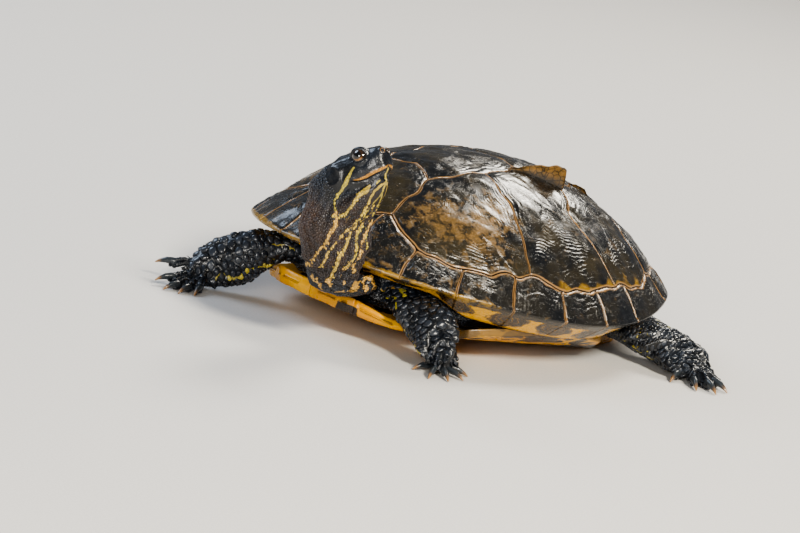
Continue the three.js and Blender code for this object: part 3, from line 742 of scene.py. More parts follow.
# ---- Markings ----
# Pale stripes of the head, behind the nose, to the side and above it, with half widths; both sides
HEAD_STRIPES = {
    "behind_eye": (0.25, [
        (13.4, 10.4, -3.4, 0.55), (16.5, 11.8, -6.1, 0.9), (19.4, 12.1, -9.1, 1.15),
        (23.8, 12.3, -11.9, 0.75), (28.7, 11.8, -14.8, 0.5), (29.4, 12.6, -20, 0.7)]),
    "cheek": (0.45, [
        (10.6, 7.1, -13.6, 0.9), (13.4, 8.3, -15.1, 1.6), (17.1, 9.4, -16.8, 1.1),
        (20.5, 10.2, -19.3, 0.8), (24.2, 10.9, -21.4, 0.8), (28.3, 11.5, -22.1, 0.8),
        (31, 12.5, -21.1, 0.9)]),
    "chin_fork": (0.45, [
        (5.6, 1.0, -14.5, 0.8), (8.6, 4, -16, 0.75), (12.3, 5.5, -18.7, 0.7),
        (16.6, 4.9, -22.2, 0.85), (20.4, 5, -24.5, 0.6), (25.2, 4.9, -26.9, 0.5)]),
    "front_cheek": (0.3, [(4.9, 3.8, -12.7, 0.3), (6.7, 4.8, -13.5, 0.65), (7.6, 5.3, -14.1, 0.2)]),
    "chin_middle": (0.3, [
        (1.1, 0, -8.6, 0.5), (4, 0, -11.7, 0.75), (6.5, 0, -14.8, 1.0), (8.5, 0.2, -16.8, 0.6),
        (11.5, -1.3, -19.9, 0.6), (16, -3, -23.4, 0.5), (21, -3.5, -26, 0.5)]),
}
NOSTRIL = (0.9, 2.0, 0.4)           # the right one, behind the nose, to the side and above it
EARDRUM = (25, 13.6, -3.5)
JAW_HINGE = (19.5, 12.4, -9)
BROW = [(3, 3.6, 3.2), (6.5, 6.2, 5), (11, 7.6, 6.2), (16, 9, 5.8)]
# The orange edge of the beak, given the same way
BEAK_EDGE = [(0.9, 0.3, -7.2, 0.5), (2.3, 4.1, -8, 0.75), (6.4, 7.1, -8.7, 0.85),
             (10.3, 8.6, -9.5, 0.75), (13.7, 10, -9.5, 0.5), (15.5, 11, -9, 0.2)]
# Stripes of the neck and forelegs in the turtle's own frame
BODY_STRIPES = {
    "neck_side": (0.8, [
        (50.4, -144.1, 70.7, 0.9), (51.4, -143.7, 64.5, 0.95), (49.3, -143.9, 58.3, 0.8),
        (46.5, -144.3, 51.9, 0.75), (39.9, -142.9, 43, 0.9), (34.2, -139.3, 39.9, 1.3)]),
    "neck_fork": (0.6, [
        (56.5, -135.4, 67.7, 0.5), (54.1, -138.7, 61.7, 0.55), (52.5, -140.9, 57.5, 0.55),
        (49.5, -142.1, 51.6, 0.65), (47.8, -141.9, 45.5, 0.7), (44, -140.8, 40.9, 0.7)]),
    "neck_middle": (0.5, [
        (60.8, -130.4, 76.7, 0.3), (58.9, -129.6, 72.4, 0.45), (57.6, -131.1, 69.3, 0.4),
        (56.1, -135.5, 64.2, 0.5), (55.1, -136.5, 59.5, 0.75), (54.4, -136.8, 54.4, 1.0),
        (53.4, -137.9, 50.4, 1.05), (52.3, -137.9, 45.1, 1.0), (46.7, -133.5, 37.1, 1.0)]),
    "neck_thin": (0.7, [(56.5, -140.2, 71, 0.3), (53.6, -140.1, 65.2, 0.3)]),
    "neck_far": (0.3, [
        (56.4, -129.7, 65.8, 0.5), (56.4, -132, 62.4, 0.65), (56.5, -132, 58.1, 0.65),
        (56.6, -130.5, 53.8, 0.8), (56.7, -130, 49.3, 0.7)]),
    "neck_edge": (0.3, [(56.4, -126.6, 64.9, 0.4), (56.6, -126.2, 60.6, 0.5), (54, -122, 52, 0.5)]),
    "neck_low": (0.9, [
        (53.9, -126.6, 46.2, 0.35), (52.8, -131.8, 44, 0.3), (50.3, -130.6, 38.2, 0.35)]),
    "left_arm_edge": (0.2, [
        (52, -83, 15, 0.5), (60, -86.5, 11, 0.7), (67.1, -88, 8.5, 0.8), (73, -90.5, 7, 0.6)]),
    "left_shoulder": (0.1, [(41, -100, 34, 0.8), (36, -92, 31, 1.2), (32, -86, 29, 1.3)]),
    "left_arm_upper": (0.1, [
        (31, -80.5, 26, 1.3), (33.5, -81, 27.2, 1.4), (36, -81.4, 28.6, 1.4),
        (39.2, -79.2, 29.6, 1.2), (43.4, -79.6, 29, 1.2), (46.6, -80.6, 28.7, 0.8)]),
    "left_arm_fleck": (0.1, [
        (38, -84, 24.4, 0.9), (40.5, -83.6, 25.6, 0.2), (43.8, -83.8, 25.9, 0.9)]),
    "left_arm_spot": (0.1, [(45.5, -86, 24, 0.7), (47.5, -86.5, 22, 1.1)]),
    "left_arm_back": (0.2, [(36, -70, 31, 0.6), (46, -71, 31.3, 0.8), (54, -71, 29, 0.5)]),
    "right_arm_edge": (0.2, [
        (-30, -93, 17.5, 0.6), (-34.6, -101.6, 15.9, 0.8), (-37.3, -106.2, 12.5, 1.0),
        (-39.3, -108.7, 8.6, 1.0), (-41.4, -113.1, 9.2, 0.8), (-43.1, -115.9, 10.2, 0.7),
        (-44.1, -118.7, 6.8, 0.6)]),
    "right_arm_upper": (0.25, [
        (-32, -97.5, 29.1, 0.5), (-27.8, -92.5, 28.9, 0.9), (-24.5, -89.3, 28.4, 0.7)]),
    "right_arm_lower": (0.25, [
        (-31, -97.7, 21.7, 0.35), (-28.8, -89.4, 21.3, 0.5), (-24, -86, 22.5, 0.4)]),
    "left_heel": (0.2, [(74, 60, 3.5, 0.5), (82, 61, 3, 0.8), (90, 63, 3, 0.6)]),
    "left_thigh": (0.25, [(60, 55, 13, 0.5), (70, 60, 10, 0.6), (78, 61.5, 7, 0.4)]),
    "tail_left": (0.25, [
        (5, 96, 17, 0.6), (5.5, 108, 14, 0.6), (9, 120, 8.5, 0.5), (16, 130, 5.5, 0.4)]),
    "tail_right": (0.25, [
        (-4.5, 96, 17, 0.6), (-2.5, 108, 14, 0.6), (2.5, 120, 9, 0.5), (12, 132.5, 5.5, 0.4)]),
}
NECK_AXIS = np.array([(11, -80, 27), (20, -96, 27.3), (29, -109, 30.2), (38, -122, 38), (41.5, -129.5, 50),
                      (40, -132, 63), (37, -133, 75), (38, -133, 86)], dtype=float)


def nearest_on_path(points, path):
    """Distance to a path, and how far along it the nearest place lies, as a fractional index."""
    best, along = np.full(len(points), 1e9), np.zeros(len(points))
    for i in range(len(path) - 1):
        step = path[i + 1] - path[i]
        t = np.clip((points - path[i]) @ step / max(step @ step, 1e-9), 0, 1)
        gap = norm(points - path[i] - t[:, None] * step, axis=1)
        closer = gap < best
        best, along = np.where(closer, gap, best), np.where(closer, i + t, along)
    return best, along


def mirrored_neck(points):
    """Carries a stripe's points from one side of the raised neck to the other."""
    axis_z, middle = NECK_AXIS[3:, 2], np.array(BODY_STRIPES["neck_middle"][1])[::-1]
    out = []
    for x, y, z, half in points:
        centre = np.array([np.interp(z, axis_z, NECK_AXIS[3:, axis]) for axis in (0, 1)])
        facing = unit(np.array([np.interp(z, middle[:, 2], middle[:, axis]) for axis in (0, 1)]) - centre)
        offset = np.array([x, y]) - centre
        place = centre + 2 * (offset @ facing) * facing - offset
        out.append((place[0], place[1], z, half))
    return out


STRIPE_STEP = 1.2
OUTSIDE = -9.0                      # stands for far outside any stripe


def all_stripes():
    """Every pale stripe as its warmth and a smooth path of points with half widths."""
    stripes = []
    for warmth, points in HEAD_STRIPES.values():
        for side in SIDES.values():
            placed = [(*head_point(back, across * side, up), half) for back, across, up, half in points]
            stripes.append((warmth, spline(placed, STRIPE_STEP)))
    for name, (warmth, points) in BODY_STRIPES.items():
        stripes.append((warmth, spline(points, STRIPE_STEP)))
        if name in ("neck_side", "neck_fork"):
            stripes.append((warmth, spline(mirrored_neck(points), STRIPE_STEP)))
        if name.startswith("left_") and not name.startswith("left_arm"):
            across = [(1 - x, y + 6 + (x - 42) * 0.08, z, half) for x, y, z, half in points]
            stripes.append((warmth, spline(across, STRIPE_STEP)))
    return stripes


def stripe_depth(points, path):
    """How far inside a stripe each point lies, in millimetres; less than 0 outside it."""
    depth = np.full(len(points), OUTSIDE)
    low, high = path[:, :3].min(axis=0) - 6, path[:, :3].max(axis=0) + 6
    inside = np.flatnonzero(np.all((points > low) & (points < high), axis=1))
    if len(inside):
        gap, along = nearest_on_path(points[inside], path[:, :3])
        depth[inside] = np.interp(along, np.arange(len(path)), path[:, 3]) - gap
    return depth


def laid_on(surface, path):
    """The path with its points brought to the nearest place of the surface."""
    laid = path.copy()
    for row in laid:
        row[:3] = surface.find_nearest(Vector(row[:3]))[0]
    return laid


def markings(points, surface):
    """The fields that skin and scales both take their colours from."""
    back, side, up = head_local(points)
    stripe, warmth = np.full(len(points), OUTSIDE), np.zeros(len(points))
    for warm, path in all_stripes():
        depth = stripe_depth(points, laid_on(surface, path))
        warmth = np.where(depth > stripe, warm, warmth)
        stripe = np.maximum(stripe, depth)
    stripe += 0.14 * waves(points, 1.5, 51) - 0.1
    beak = np.full(len(points), OUTSIDE)
    for across in SIDES.values():
        placed = [(*head_point(b, s * across, u), half) for b, s, u, half in BEAK_EDGE]
        beak = np.maximum(beak, stripe_depth(points, laid_on(surface, spline(placed, 1))))
        nostril = norm(points - on_side(NOSTRIL, across), axis=1)
        beak = np.maximum(beak, 0.12 - np.abs(nostril - 1.2))
    gap, along = nearest_on_path(points, NECK_AXIS)
    in_neck = fall(22, 28, gap)
    throat = smooth(13, 18, -up) * (back > 2)
    brown = in_neck * np.maximum(smooth(33, 42, back - 0.5 * (up + 12)), throat) * smooth(
        30, 44, points[:, 2])
    # Where the nape patch lies: reddish skin, partly a painted highlight on its granules
    nape = in_neck * np.exp(-((back - 49) ** 2 + (up + 14) ** 2) / 11 ** 2) * smooth(2, 9, np.abs(side))
    base = in_neck * fall(33, 40, points[:, 2]) * smooth(24, 30, points[:, 2])
    cream = base * smooth(0.15, 0.5, waves(points * [1, 1, 0.5], 3.2, 52)) * (along > 1)
    dots = smooth(0.95, 1.15, waves(points, 1.9, 53)) * smooth(50, 60, points[:, 1]) * (
        1 - smooth(80, 88, np.abs(points[:, 0])))
    stripe = np.maximum(stripe, np.maximum(cream, 0.8 * dots) * 1.4 - 0.7)
    warmth = np.where(base > 0.3, 0.85, warmth)
    return {"stripe": stripe, "warmth": warmth, "beak": beak, "brown": brown, "nape": nape}


# ---- Feet ----
FOOT_FRONT = {"toe": 3, "claw": 1.75}
FOOT_HIND = {"toe": 3.8, "claw": 1.95}
CLAW_LENGTH = 9.5
# Palm in plan, then each toe's turn from +X in degrees, its reach to the claw's tip, and its rise
FEET = {
    "leg_front_left": (FOOT_FRONT, (77, -80), [
        (-100, 15, 0), (-57, 20.5, 0), (-28, 18.5, 0), (8, 16, 0), (46, 15, 0)]),
    "leg_front_right": (FOOT_FRONT, (-51, -119), [
        (-54, 20, 0), (-71, 25, 0), (-87, 28, 0), (-106, 27, 2), (-143, 26, 7)]),
    "leg_hind_left": (FOOT_HIND, (97, 78), [
        (-68, 21, 0), (-35, 27, 0), (-15, 29.5, 0), (6, 27, 0), (34, 20, 0)]),
    "leg_hind_right": (FOOT_HIND, (-96.5, 88.5), [
        (-112, 21, 0), (-145, 27, 0), (-165, 29.5, 0), (-186, 27, 0), (-214, 20, 0)]),
}
FLESH = ["trunk", "tail", "head", "neck", *FEET]
INFLATE = 0.3
SKIN_VOXEL = 0.8
COAT_DEPTH = 0.45
LID_RADIUS = 4.95
LID_SHIFT = 0.1                     # how far the lids stand outside the eyeballs
CORNEA_RISE = 0.25
TOE_SWELL = 2.5


def toe_local(offset, turn):
    """How far offsets from the palm lie along a toe and across it, and which way the toe points."""
    angle = math.radians(turn)
    along_toe = np.array([math.cos(angle), math.sin(angle)])
    return offset @ along_toe, offset @ np.array([-along_toe[1], along_toe[0]]), along_toe


def draw_in_claws(name, points):
    """Pulls the claws of a copied leg back into its toes."""
    if name not in FEET:
        return points
    _, palm, toes = FEET[name]
    points = points.copy()
    for turn, reach, _ in toes:
        along, across, along_toe = toe_local(points[:, :2] - palm, turn)
        limit = (reach - CLAW_LENGTH) * 1.15 + 0.3
        claw = (along > limit) & (np.abs(across) < 3.2)
        points[claw, :2] += (limit - along[claw])[:, None] * along_toe
    return points


# The solid neck has one thin corner behind the head, which real skin has not
NAPE_CORNER = {"place": np.array([27, -148.4, 74.3]), "towards": np.array([37, -133, 75]),
               "depth": 3.4, "spread": 4}


def draw_in_corner(points):
    """Draws the thin corner behind the head in towards the middle of the neck."""
    place = NAPE_CORNER["place"]
    share = closeness(points, place, NAPE_CORNER["spread"])
    return points + share[:, None] * unit(NAPE_CORNER["towards"] - place) * NAPE_CORNER["depth"]


def copy_flesh(name):
    piece = bpy.data.objects.new(name + "_flesh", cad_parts[name].data.copy())
    bpy.context.scene.collection.objects.link(piece)
    piece.data.materials.clear()
    close_up(piece)
    return piece


def lid_ball(side):
    back, across, up = EYE_PLACE
    place = (head_point(back, (across + LID_SHIFT) * side, up) + SHIFT) * MM
    deselect()
    bpy.ops.mesh.primitive_uv_sphere_add(segments=32, ring_count=20, radius=LID_RADIUS * MM,
                                         location=place)
    bpy.ops.object.transform_apply(location=True, rotation=False, scale=False)
    return bpy.context.object


def relax(mesh, points, rounds, share=1, steps=(0.6, -0.625)):
    """Smooths a mesh; share says how much of it each point takes. The usual pair of steps keeps
    the mesh from shrinking, where a single step rounds it off."""
    a, b = read_rows(mesh.edges, "vertices", 2, np.int32).T
    count = np.maximum(np.bincount(np.concatenate([a, b]), minlength=len(points)), 1)[:, None]
    share = np.reshape(share, (-1, 1))
    for _ in range(rounds):
        for step in steps:
            total = np.column_stack([
                np.bincount(a, points[b, axis], len(points)) + np.bincount(b, points[a, axis], len(points))
                for axis in range(3)])
            points = points + (total / count - points) * step * share
    return points


def faces_tree(pieces):
    """A search tree over several meshes, and which of them each of its faces belongs to."""
    vertices, faces, owners = [], [], []
    for number, piece in enumerate(pieces):
        start = len(vertices)
        vertices.extend(Vector(point) for point in model_points(piece.data))
        faces.extend([start + i for i in face.vertices] for face in piece.data.polygons)
        owners.extend([number] * len(piece.data.polygons))
    return BVHTree.FromPolygons(vertices, faces), np.array(owners)


def owners_of(points, tree, owners):
    return np.array([owners[tree.find_nearest(Vector(point))[2]] for point in points])


def select_vertices(piece, chosen):
    activate(piece)
    set_mode("EDIT")
    bpy.ops.mesh.select_mode(type="VERT")
    bpy.ops.mesh.select_all(action="DESELECT")
    set_mode("OBJECT")
    piece.data.vertices.foreach_set("select", chosen)
    set_mode("EDIT")


# Creases of the skin: half width, depth and path
CREASES = [
    (1.4, 2.0, [(84.8, 62.3, 9.3), (89, 66, 13), (92.6, 70.7, 14.9), (94, 78, 15.2), (93.4, 87, 14.5)]),
    (1.3, 1.7, [(68.8, 61.2, 7.6), (76, 61.5, 12), (82.2, 65, 16.5), (84.5, 75, 19.5), (84.5, 85, 18)]),
    (0.8, 0.7, [(67, -88, 8.5), (72, -87.5, 13), (77, -84, 14.5), (81.5, -78, 13)]),
    (0.7, 0.5, [(64, -87, 13), (69, -86, 16.5), (75, -82, 18), (79, -76, 17)]),
    (0.8, 0.7, [(-42, -114, 9), (-46.5, -117.5, 14.5), (-52, -119.5, 17), (-58, -118, 13)]),
    (0.9, 0.9, [(35, -140, 44), (43, -143, 42), (50, -140, 39), (55, -132, 39)]),
    (0.8, 0.8, [(33, -134, 38.5), (41, -138, 37), (48, -134, 34.5), (52, -126, 34)]),
]


def mouth_line(back, side):
    """Height of the slit of the mouth, with a notch in the middle of the upper beak."""
    height = np.interp(back, [0, 2.3, 6.4, 10.3, 13.7, 18], [-8.3, -9.2, -9.9, -10.6, -10.5, -9])
    return height + 1.7 * hump(side, 1.1) * (back < 5)


def eye_frame():
    """Axes of the right eye: outwards, backwards along the opening, and up."""
    outwards = unit(-0.28 * HEAD_BACK + HEAD_RIGHT + 0.22 * HEAD_UP)
    along = unit(HEAD_BACK - (HEAD_BACK @ outwards) * outwards)
    return outwards, along, np.cross(outwards, along) * -1


def axis_on_side(axis, side):
    """The same direction seen on the head's right side, where side is 1, or on its left."""
    back, across, up = axis @ HEAD_BACK, axis @ HEAD_RIGHT, axis @ HEAD_UP
    return back * HEAD_BACK + across * side * HEAD_RIGHT + up * HEAD_UP


def toe_relief(points):
    """Raises each toe between its knuckle and its claw, and sinks the web between toes."""
    relief = np.zeros(len(points))
    for kind, palm, toes in FEET.values():
        offset = points[:, :2] - palm
        distance = norm(offset, axis=1)
        close = distance < 24
        ridge, inside = np.zeros(len(points)), np.zeros(len(points))
        for turn, reach, _ in toes:
            along, across, _ = toe_local(offset, turn)
            root = reach - CLAW_LENGTH
            here = smooth(root - 10, root - 4, along) * fall(root + 0.5, root + 2, along)
            ridge = np.maximum(ridge, here * hump(across, kind["toe"] * 0.6))
            inside = np.maximum(inside, here * (np.abs(across) < 5.5))
        relief += close * inside * (TOE_SWELL * (ridge - 1) + 0.3)
    return relief


def sculpt(points, normals):
    """Adds creases, the slit of the mouth, nostrils, brow, eardrum and wrinkles to the skin."""
    back, side, up = head_local(points)
    on_head = (back > -2) & (back < 45) & (np.abs(side) < 22) & (np.abs(up) < 30)
    away = np.zeros(len(points))
    for width, depth, path in CREASES:
        gap, _ = nearest_on_path(points, spline(path, 1))
        away -= depth * (hump(gap, width) - 0.35 * hump(gap - 2.6 * width, width))
    line = mouth_line(back, side)
    fade = on_head * fall(16.5, 18.5, back)
    away -= 0.75 * hump(up - line, 0.42) * fade
    away -= 0.45 * smooth(-5, -3.5, up - line) * smooth(0.1, -0.3, up - line) * fade
    away += 0.3 * hump(up - line - 1.6, 0.8) * fade
    for side in SIDES.values():
        nostril = norm(points - on_side(NOSTRIL, side), axis=1)
        away += 0.3 * hump(nostril - 1.35, 0.5) - 1.1 * hump(nostril, 0.75)
        brow, _ = nearest_on_path(points, np.array([on_side(place, side) for place in BROW]))
        away += 0.45 * hump(brow, 1.3)
        drum = norm(points - on_side(EARDRUM, side), axis=1)
        away += 0.3 * hump(drum - 4.4, 0.7) - 0.35 * np.exp(-(drum / 3.6) ** 4)
        jaw = norm(points - on_side(JAW_HINGE, side), axis=1)
        lines = np.sin(jaw * 2 * math.pi / 1.5 + 1.5 * waves(points, 6, 61))
        away += 0.025 * lines * smooth(3, 5, jaw) * fall(11, 16, jaw) * (back > 17)
    gap, _ = nearest_on_path(points, NECK_AXIS)
    neck = fall(21, 26, gap) * smooth(14, 24, back) * (points[:, 2] > 30)
    around = np.arctan2(points[:, 1] - NECK_AXIS[4, 1], points[:, 0] - NECK_AXIS[4, 0])
    pleats = np.sin(around * 27 + 2.2 * waves(points, 12, 62))
    away += neck * (0.34 * pleats * smooth(25, 34, back) + 0.3 * waves(points * [1, 1, 0.3], 2.6, 63))
    low = neck * fall(38, 46, points[:, 2])
    away += low * 0.5 * np.sin(points[:, 2] * 2 * math.pi / 4.2 + waves(points, 9, 64))
    legs = fall(0.1, 0.3, neck + on_head)
    away += legs * (0.08 * waves(points, 4, 65) + 0.3 * waves(points, 9, 66))
    away += on_head * (1 - neck) * 0.08 * waves(points, 3.5, 67) + toe_relief(points)
    return points + normals * away[:, None]


def open_eyes(points):
    """Lays the lids over the eyeballs and opens them."""
    for side in SIDES.values():
        centre = on_side(EYE_PLACE, side)
        frame_axes = [axis_on_side(axis, side) for axis in eye_frame()]
        offset = points - centre
        distance = norm(offset, axis=1)
        facing, level, tall = (unit(offset) @ axis for axis in frame_axes)
        oval = np.hypot(level * EYE_RADIUS / 3.75, (tall * EYE_RADIUS + 0.3) / 2.75)
        near_eye = (distance < 7.5) & (facing > 0)
        opening = near_eye & (oval < 1)
        lid = near_eye & ~opening & (distance < LID_RADIUS + 1.2)
        rings = 0.1 * np.sin((oval - 1) * 2 * math.pi / 0.24) * smooth(1.05, 1.2, oval)
        target = EYE_RADIUS + 0.3 + 0.6 * smooth(1, 1.15, oval) + rings
        blend_out = fall(1.3, 1.6, oval)
        wanted = distance + (np.maximum(target, distance - 0.2) - distance) * blend_out
        wanted = np.where(opening, EYE_RADIUS - 0.45, np.where(lid, wanted, distance))
        points = centre + unit(offset) * wanted[:, None]
    return points


# Where the flesh bends too sharply for skin: the middle of each place and its spread
SHARP_BENDS = [((40, -133, 26), 9), ((46, -127, 27), 8), ((32, -128, 24), 8), ((40, -138, 36), 6)]
BEND_ROUNDS = 300


def nape_share(points):
    """Which points lie on the nape, where the skin bridges a notch in the solid neck."""
    back, _, up = head_local(points)
    gap, _ = nearest_on_path(points, NECK_AXIS)
    along = smooth(24, 31, back) * fall(50, 58, back)
    return along * smooth(-20, -12, up) * fall(24, 30, gap)


def round_bends(skin, points):
    """Smooths the nape both ways, and the foot of the neck only inwards."""
    nape = nape_share(points)
    share = nape
    for place, spread in SHARP_BENDS:
        share = np.maximum(share, closeness(points, place, spread))
    move = relax(skin.data, points, BEND_ROUNDS, share, (0.6,)) - points
    outwards = np.sum(move * read_normals(skin.data), axis=1)
    kept = np.maximum(nape, 1 - smooth(-0.1, 0.3, outwards))
    return points + move * kept[:, None]


HIDDEN_SHARE = 0.06                 # of the faces kept where the shell hides the skin
SCALED_SHARE = 0.45                 # of the faces kept where scales cover the skin
HIDDEN_REACH, HIDDEN_Y = 0.7, 45    # the shell hides the trunk out to here
FINE_HEAD_END = 34                  # the head has finer faces up to this far behind the nose
BEAK_END = (3, 5)                   # the smooth beak fades out between these
# Rounds of smoothing of the whole skin, of its rounded bends, of the head and of the beak
SMOOTHING = {"skin": 18, "bends": 10, "head": 14, "beak": 40}
FLOOR_GAP = 0.05                    # keeps the skin's lowest points just off the floor


def thin_out(skin, chosen, share):
    """Joins faces of the chosen part, keeping its shape, until only this share is left."""
    select_vertices(skin, chosen)
    bpy.ops.mesh.decimate(ratio=share)
    set_mode("OBJECT")


def smooth_head(skin):
    """Smooths the raised head, and its beak once more."""
    points = model_points(skin.data)
    share = smooth(-60, -75, -points[:, 2]) * (head_local(points)[0] < FINE_HEAD_END - 1)
    points = relax(skin.data, points, SMOOTHING["head"], share)
    beak = 1 - smooth(*BEAK_END, head_local(points)[0])
    points = relax(skin.data, points, SMOOTHING["beak"], share * beak)
    write_points(skin.data, points)
    return points


def build_skin():
    """One skin over all the flesh, and a note of which solid each of its points belongs to."""
    copies = [copy_flesh(name) for name in FLESH]
    tree, owners = faces_tree(copies)
    for name, piece in zip(FLESH, copies):
        write_points(piece.data, draw_in_corner(model_points(piece.data)))
        points = model_points(piece.data) + read_normals(piece.data) * INFLATE
        write_points(piece.data, draw_in_claws(name, points))
    skin = join_pieces("skin", copies + [lid_ball(side) for side in SIDES.values()])
    skin.data.remesh_voxel_size = SKIN_VOXEL * MM
    bpy.ops.object.voxel_remesh()
    mesh = skin.data
    points = relax(mesh, model_points(mesh), SMOOTHING["skin"])
    write_points(mesh, points)
    # Sharp bends are rounded off first, because moving the skin in would turn them inside out
    points = relax(mesh, round_bends(skin, points), SMOOTHING["bends"])
    write_points(mesh, points)
    points -= read_normals(mesh) * (INFLATE + COAT_DEPTH)
    write_points(mesh, points)
    owner = owners_of(points, tree, owners)
    level = carry_back(points)
    _, reach = polar(level[:, 0], level[:, 1])
    hidden = (reach < HIDDEN_REACH) | (np.abs(level[:, 1]) < HIDDEN_Y)
    thin_out(skin, (owner == FLESH.index("trunk")) & hidden, HIDDEN_SHARE)
    points = model_points(mesh)
    on_head = owners_of(points, tree, owners) == FLESH.index("head")
    select_vertices(skin, on_head & (head_local(points)[0] < FINE_HEAD_END))
    bpy.ops.mesh.subdivide(number_cuts=1)
    set_mode("OBJECT")
    points = smooth_head(skin)
    points = open_eyes(sculpt(points, read_normals(mesh)))
    write_points(mesh, points)
    bare = np.isin(owners_of(points, tree, owners), [FLESH.index("head"), FLESH.index("neck")])
    thin_out(skin, ~bare, SCALED_SHARE)
    points = model_points(mesh)
    points[:, 2] = np.maximum(points[:, 2], FLOOR_GAP)
    write_points(mesh, points)
    surface, _ = faces_tree([skin])
    for name, values in markings(points, surface).items():
        set_field(mesh, name, values)
    set_field(mesh, "region", owners_of(points, tree, owners))
    activate(skin)
    bpy.ops.object.shade_smooth()
    return skin


def carry_back(points):
    """The level shell's coordinates of points in the turtle's own frame."""
    return carry(points, -SHELL_PITCH)


# ---- Scales ----
MARKINGS = ["stripe", "warmth", "beak", "brown", "nape"]


def read_field(mesh, name):
    return read_rows(mesh.attributes[name].data, "value", 1, np.float32)[:, 0]


def nearest_vertices(skin, tree, places):
    """For each place, the number of a skin vertex beside it."""
    polygons = skin.data.polygons
    return [polygons[tree.find_nearest(Vector((place + SHIFT) * MM))[2]].vertices[0] for place in places]


# Axis of each scaly region, its usual scale size, how much wider than long its scales are, and
# places with sizes of their own: x, y, z, spread and size
REGIONS = {
    "leg_front_left": (
        [(26, -66, 24.5), (52, -77, 22.8), (71, -78, 14), (77.5, -80, 8.5), (83, -87, 4)], 4.3, 1.3,
        [(63.7, -79.6, 25.4, 6, 5.4), (70.6, -78.7, 22.6, 6, 6.2), (76.4, -77.8, 19, 6, 6.2),
         (81, -76.4, 14.6, 6, 5.6), (86, -89, 2, 9, 2.5), (60, -87, 11, 6, 2.6)]),
    "leg_front_right": (
        [(-20, -70, 25), (-32, -88, 27.6), (-43.5, -103.5, 18.5), (-53, -119.5, 9), (-56, -130, 4)],
        4.3, 1.3,
        [(-42, -108, 29, 7, 5.4), (-45.7, -112.4, 25.3, 6, 6), (-48.3, -117, 21, 6, 6),
         (-51, -120, 17, 5, 5.4), (-56, -134, 3, 10, 2.5), (-38, -104, 12, 6, 2.6)]),
    "leg_hind_left": (
        [(42, 62, 15), (73, 75.5, 12), (95, 78, 7.5), (109, 73.5, 3)], 4.4, 2.1,
        [(112, 74, 6, 9, 5), (64, 70, 18, 14, 2.4)]),
    "leg_hind_right": (
        [(-41, 68, 15), (-72, 84, 12), (-94, 88.2, 7.5), (-108, 85, 3)], 4.4, 2.1,
        [(-111, 86, 6, 9, 5), (-63, 78, 18, 14, 2.4)]),
    "tail": ([(0, 84, 15), (2, 112, 10.5), (14, 133, 3.6), (31, 143, 1.1)], 2.0, 1, []),
    "trunk": ([(0, 90, 25), (0, 0, 30), (0, -90, 25)], 1.9, 1.1, []),
    "neck": (
        [(11, -80, 27), (29, -109, 30.2), (41.5, -129.5, 50), (35.5, -133, 75), (50, -131, 92)],
        1.15, 0.8, [(50, -130, 36, 8, 1.5), (26, -133, 62, 16, 1.3)]),
}
PATCH = 0.003                       # width of a scale's patch on the unwrap


def wanted_size(points, base, places):
    size = np.full(len(points), float(base))
    for x, y, z, spread, own in places:
        size += (own - base) * closeness(points, [x, y, z], spread)
    return size


def scatter(skin, allowed, size_of, widen, seed, per_area):
    """Random places on the allowed faces of the skin, no two nearer than their size asks.

    The widening squeezes the measure so that scales come out wider across the limb than along it.
    """
    mesh = skin.data
    corners = read_triangles(mesh)
    corners = corners[np.all(allowed[corners], axis=1)]
    points, normals = model_points(mesh), read_normals(mesh)
    a, b, c = (points[corners[:, i]] for i in range(3))
    area = norm(np.cross(b - a, c - a), axis=1) / 2
    rng = np.random.default_rng(seed)
    picked = rng.choice(len(corners), size=int(area.sum() * per_area), p=area / area.sum())
    u, v = rng.random(len(picked)), rng.random(len(picked))
    flip = u + v > 1
    u, v = np.where(flip, 1 - u, u), np.where(flip, 1 - v, v)
    weights = np.stack([1 - u - v, u, v])[:, :, None]
    places = sum(weights[i] * points[corners[picked, i]] for i in range(3))
    facing = unit(sum(weights[i] * normals[corners[picked, i]] for i in range(3)))
    size = size_of(places)
    order = np.argsort(-np.round(size * 2) + rng.random(len(size)) * 0.99)
    measured = places @ widen
    tree = point_tree(measured)
    open_place = np.ones(len(places), dtype=bool)
    kept = []
    for i in order:
        if open_place[i]:
            kept.append(i)
            for _, j, _ in tree.find_range(measured[i], size[i] * 0.8):
                open_place[j] = False
    return places[kept], facing[kept], size[kept]


def point_tree(points):
    tree = KDTree(len(points))
    for i, point in enumerate(points):
        tree.insert(point, i)
    tree.balance()
    return tree


def tangents(facing, towards):
    first = unit(towards - np.sum(towards * facing, axis=1, keepdims=True) * facing)
    return first, np.cross(facing, first)


def cell_reach(places, size, first, second, widen, stretch, corners, gap):
    """How far each scale reaches along and across, every way, before it meets its neighbours."""
    measured = places @ widen
    tree = point_tree(measured)
    around = np.array([[j for _, j, _ in tree.find_n(place, 9)][1:] for place in measured])
    offset = places[around] - places[:, None]
    along = np.einsum("nki,ni->nk", offset, first) * stretch
    across = np.einsum("nki,ni->nk", offset, second)
    angle = np.arctan2(across, along)
    ways = np.arange(corners) * 2 * math.pi / corners
    lean = np.maximum(np.cos(ways[None, :, None] - angle[:, None, :]), 0.05)
    reach = (np.hypot(along, across) / 2)[:, None, :] / lean
    reach = np.sum(reach ** -CORNER_SOFTNESS, axis=2) ** (-1 / CORNER_SOFTNESS)
    reach = np.clip(reach - gap / 2, 0.3, 0.72 * size[:, None])
    return reach, ways


CORNER_SOFTNESS = 9.0               # lower values round the scales more
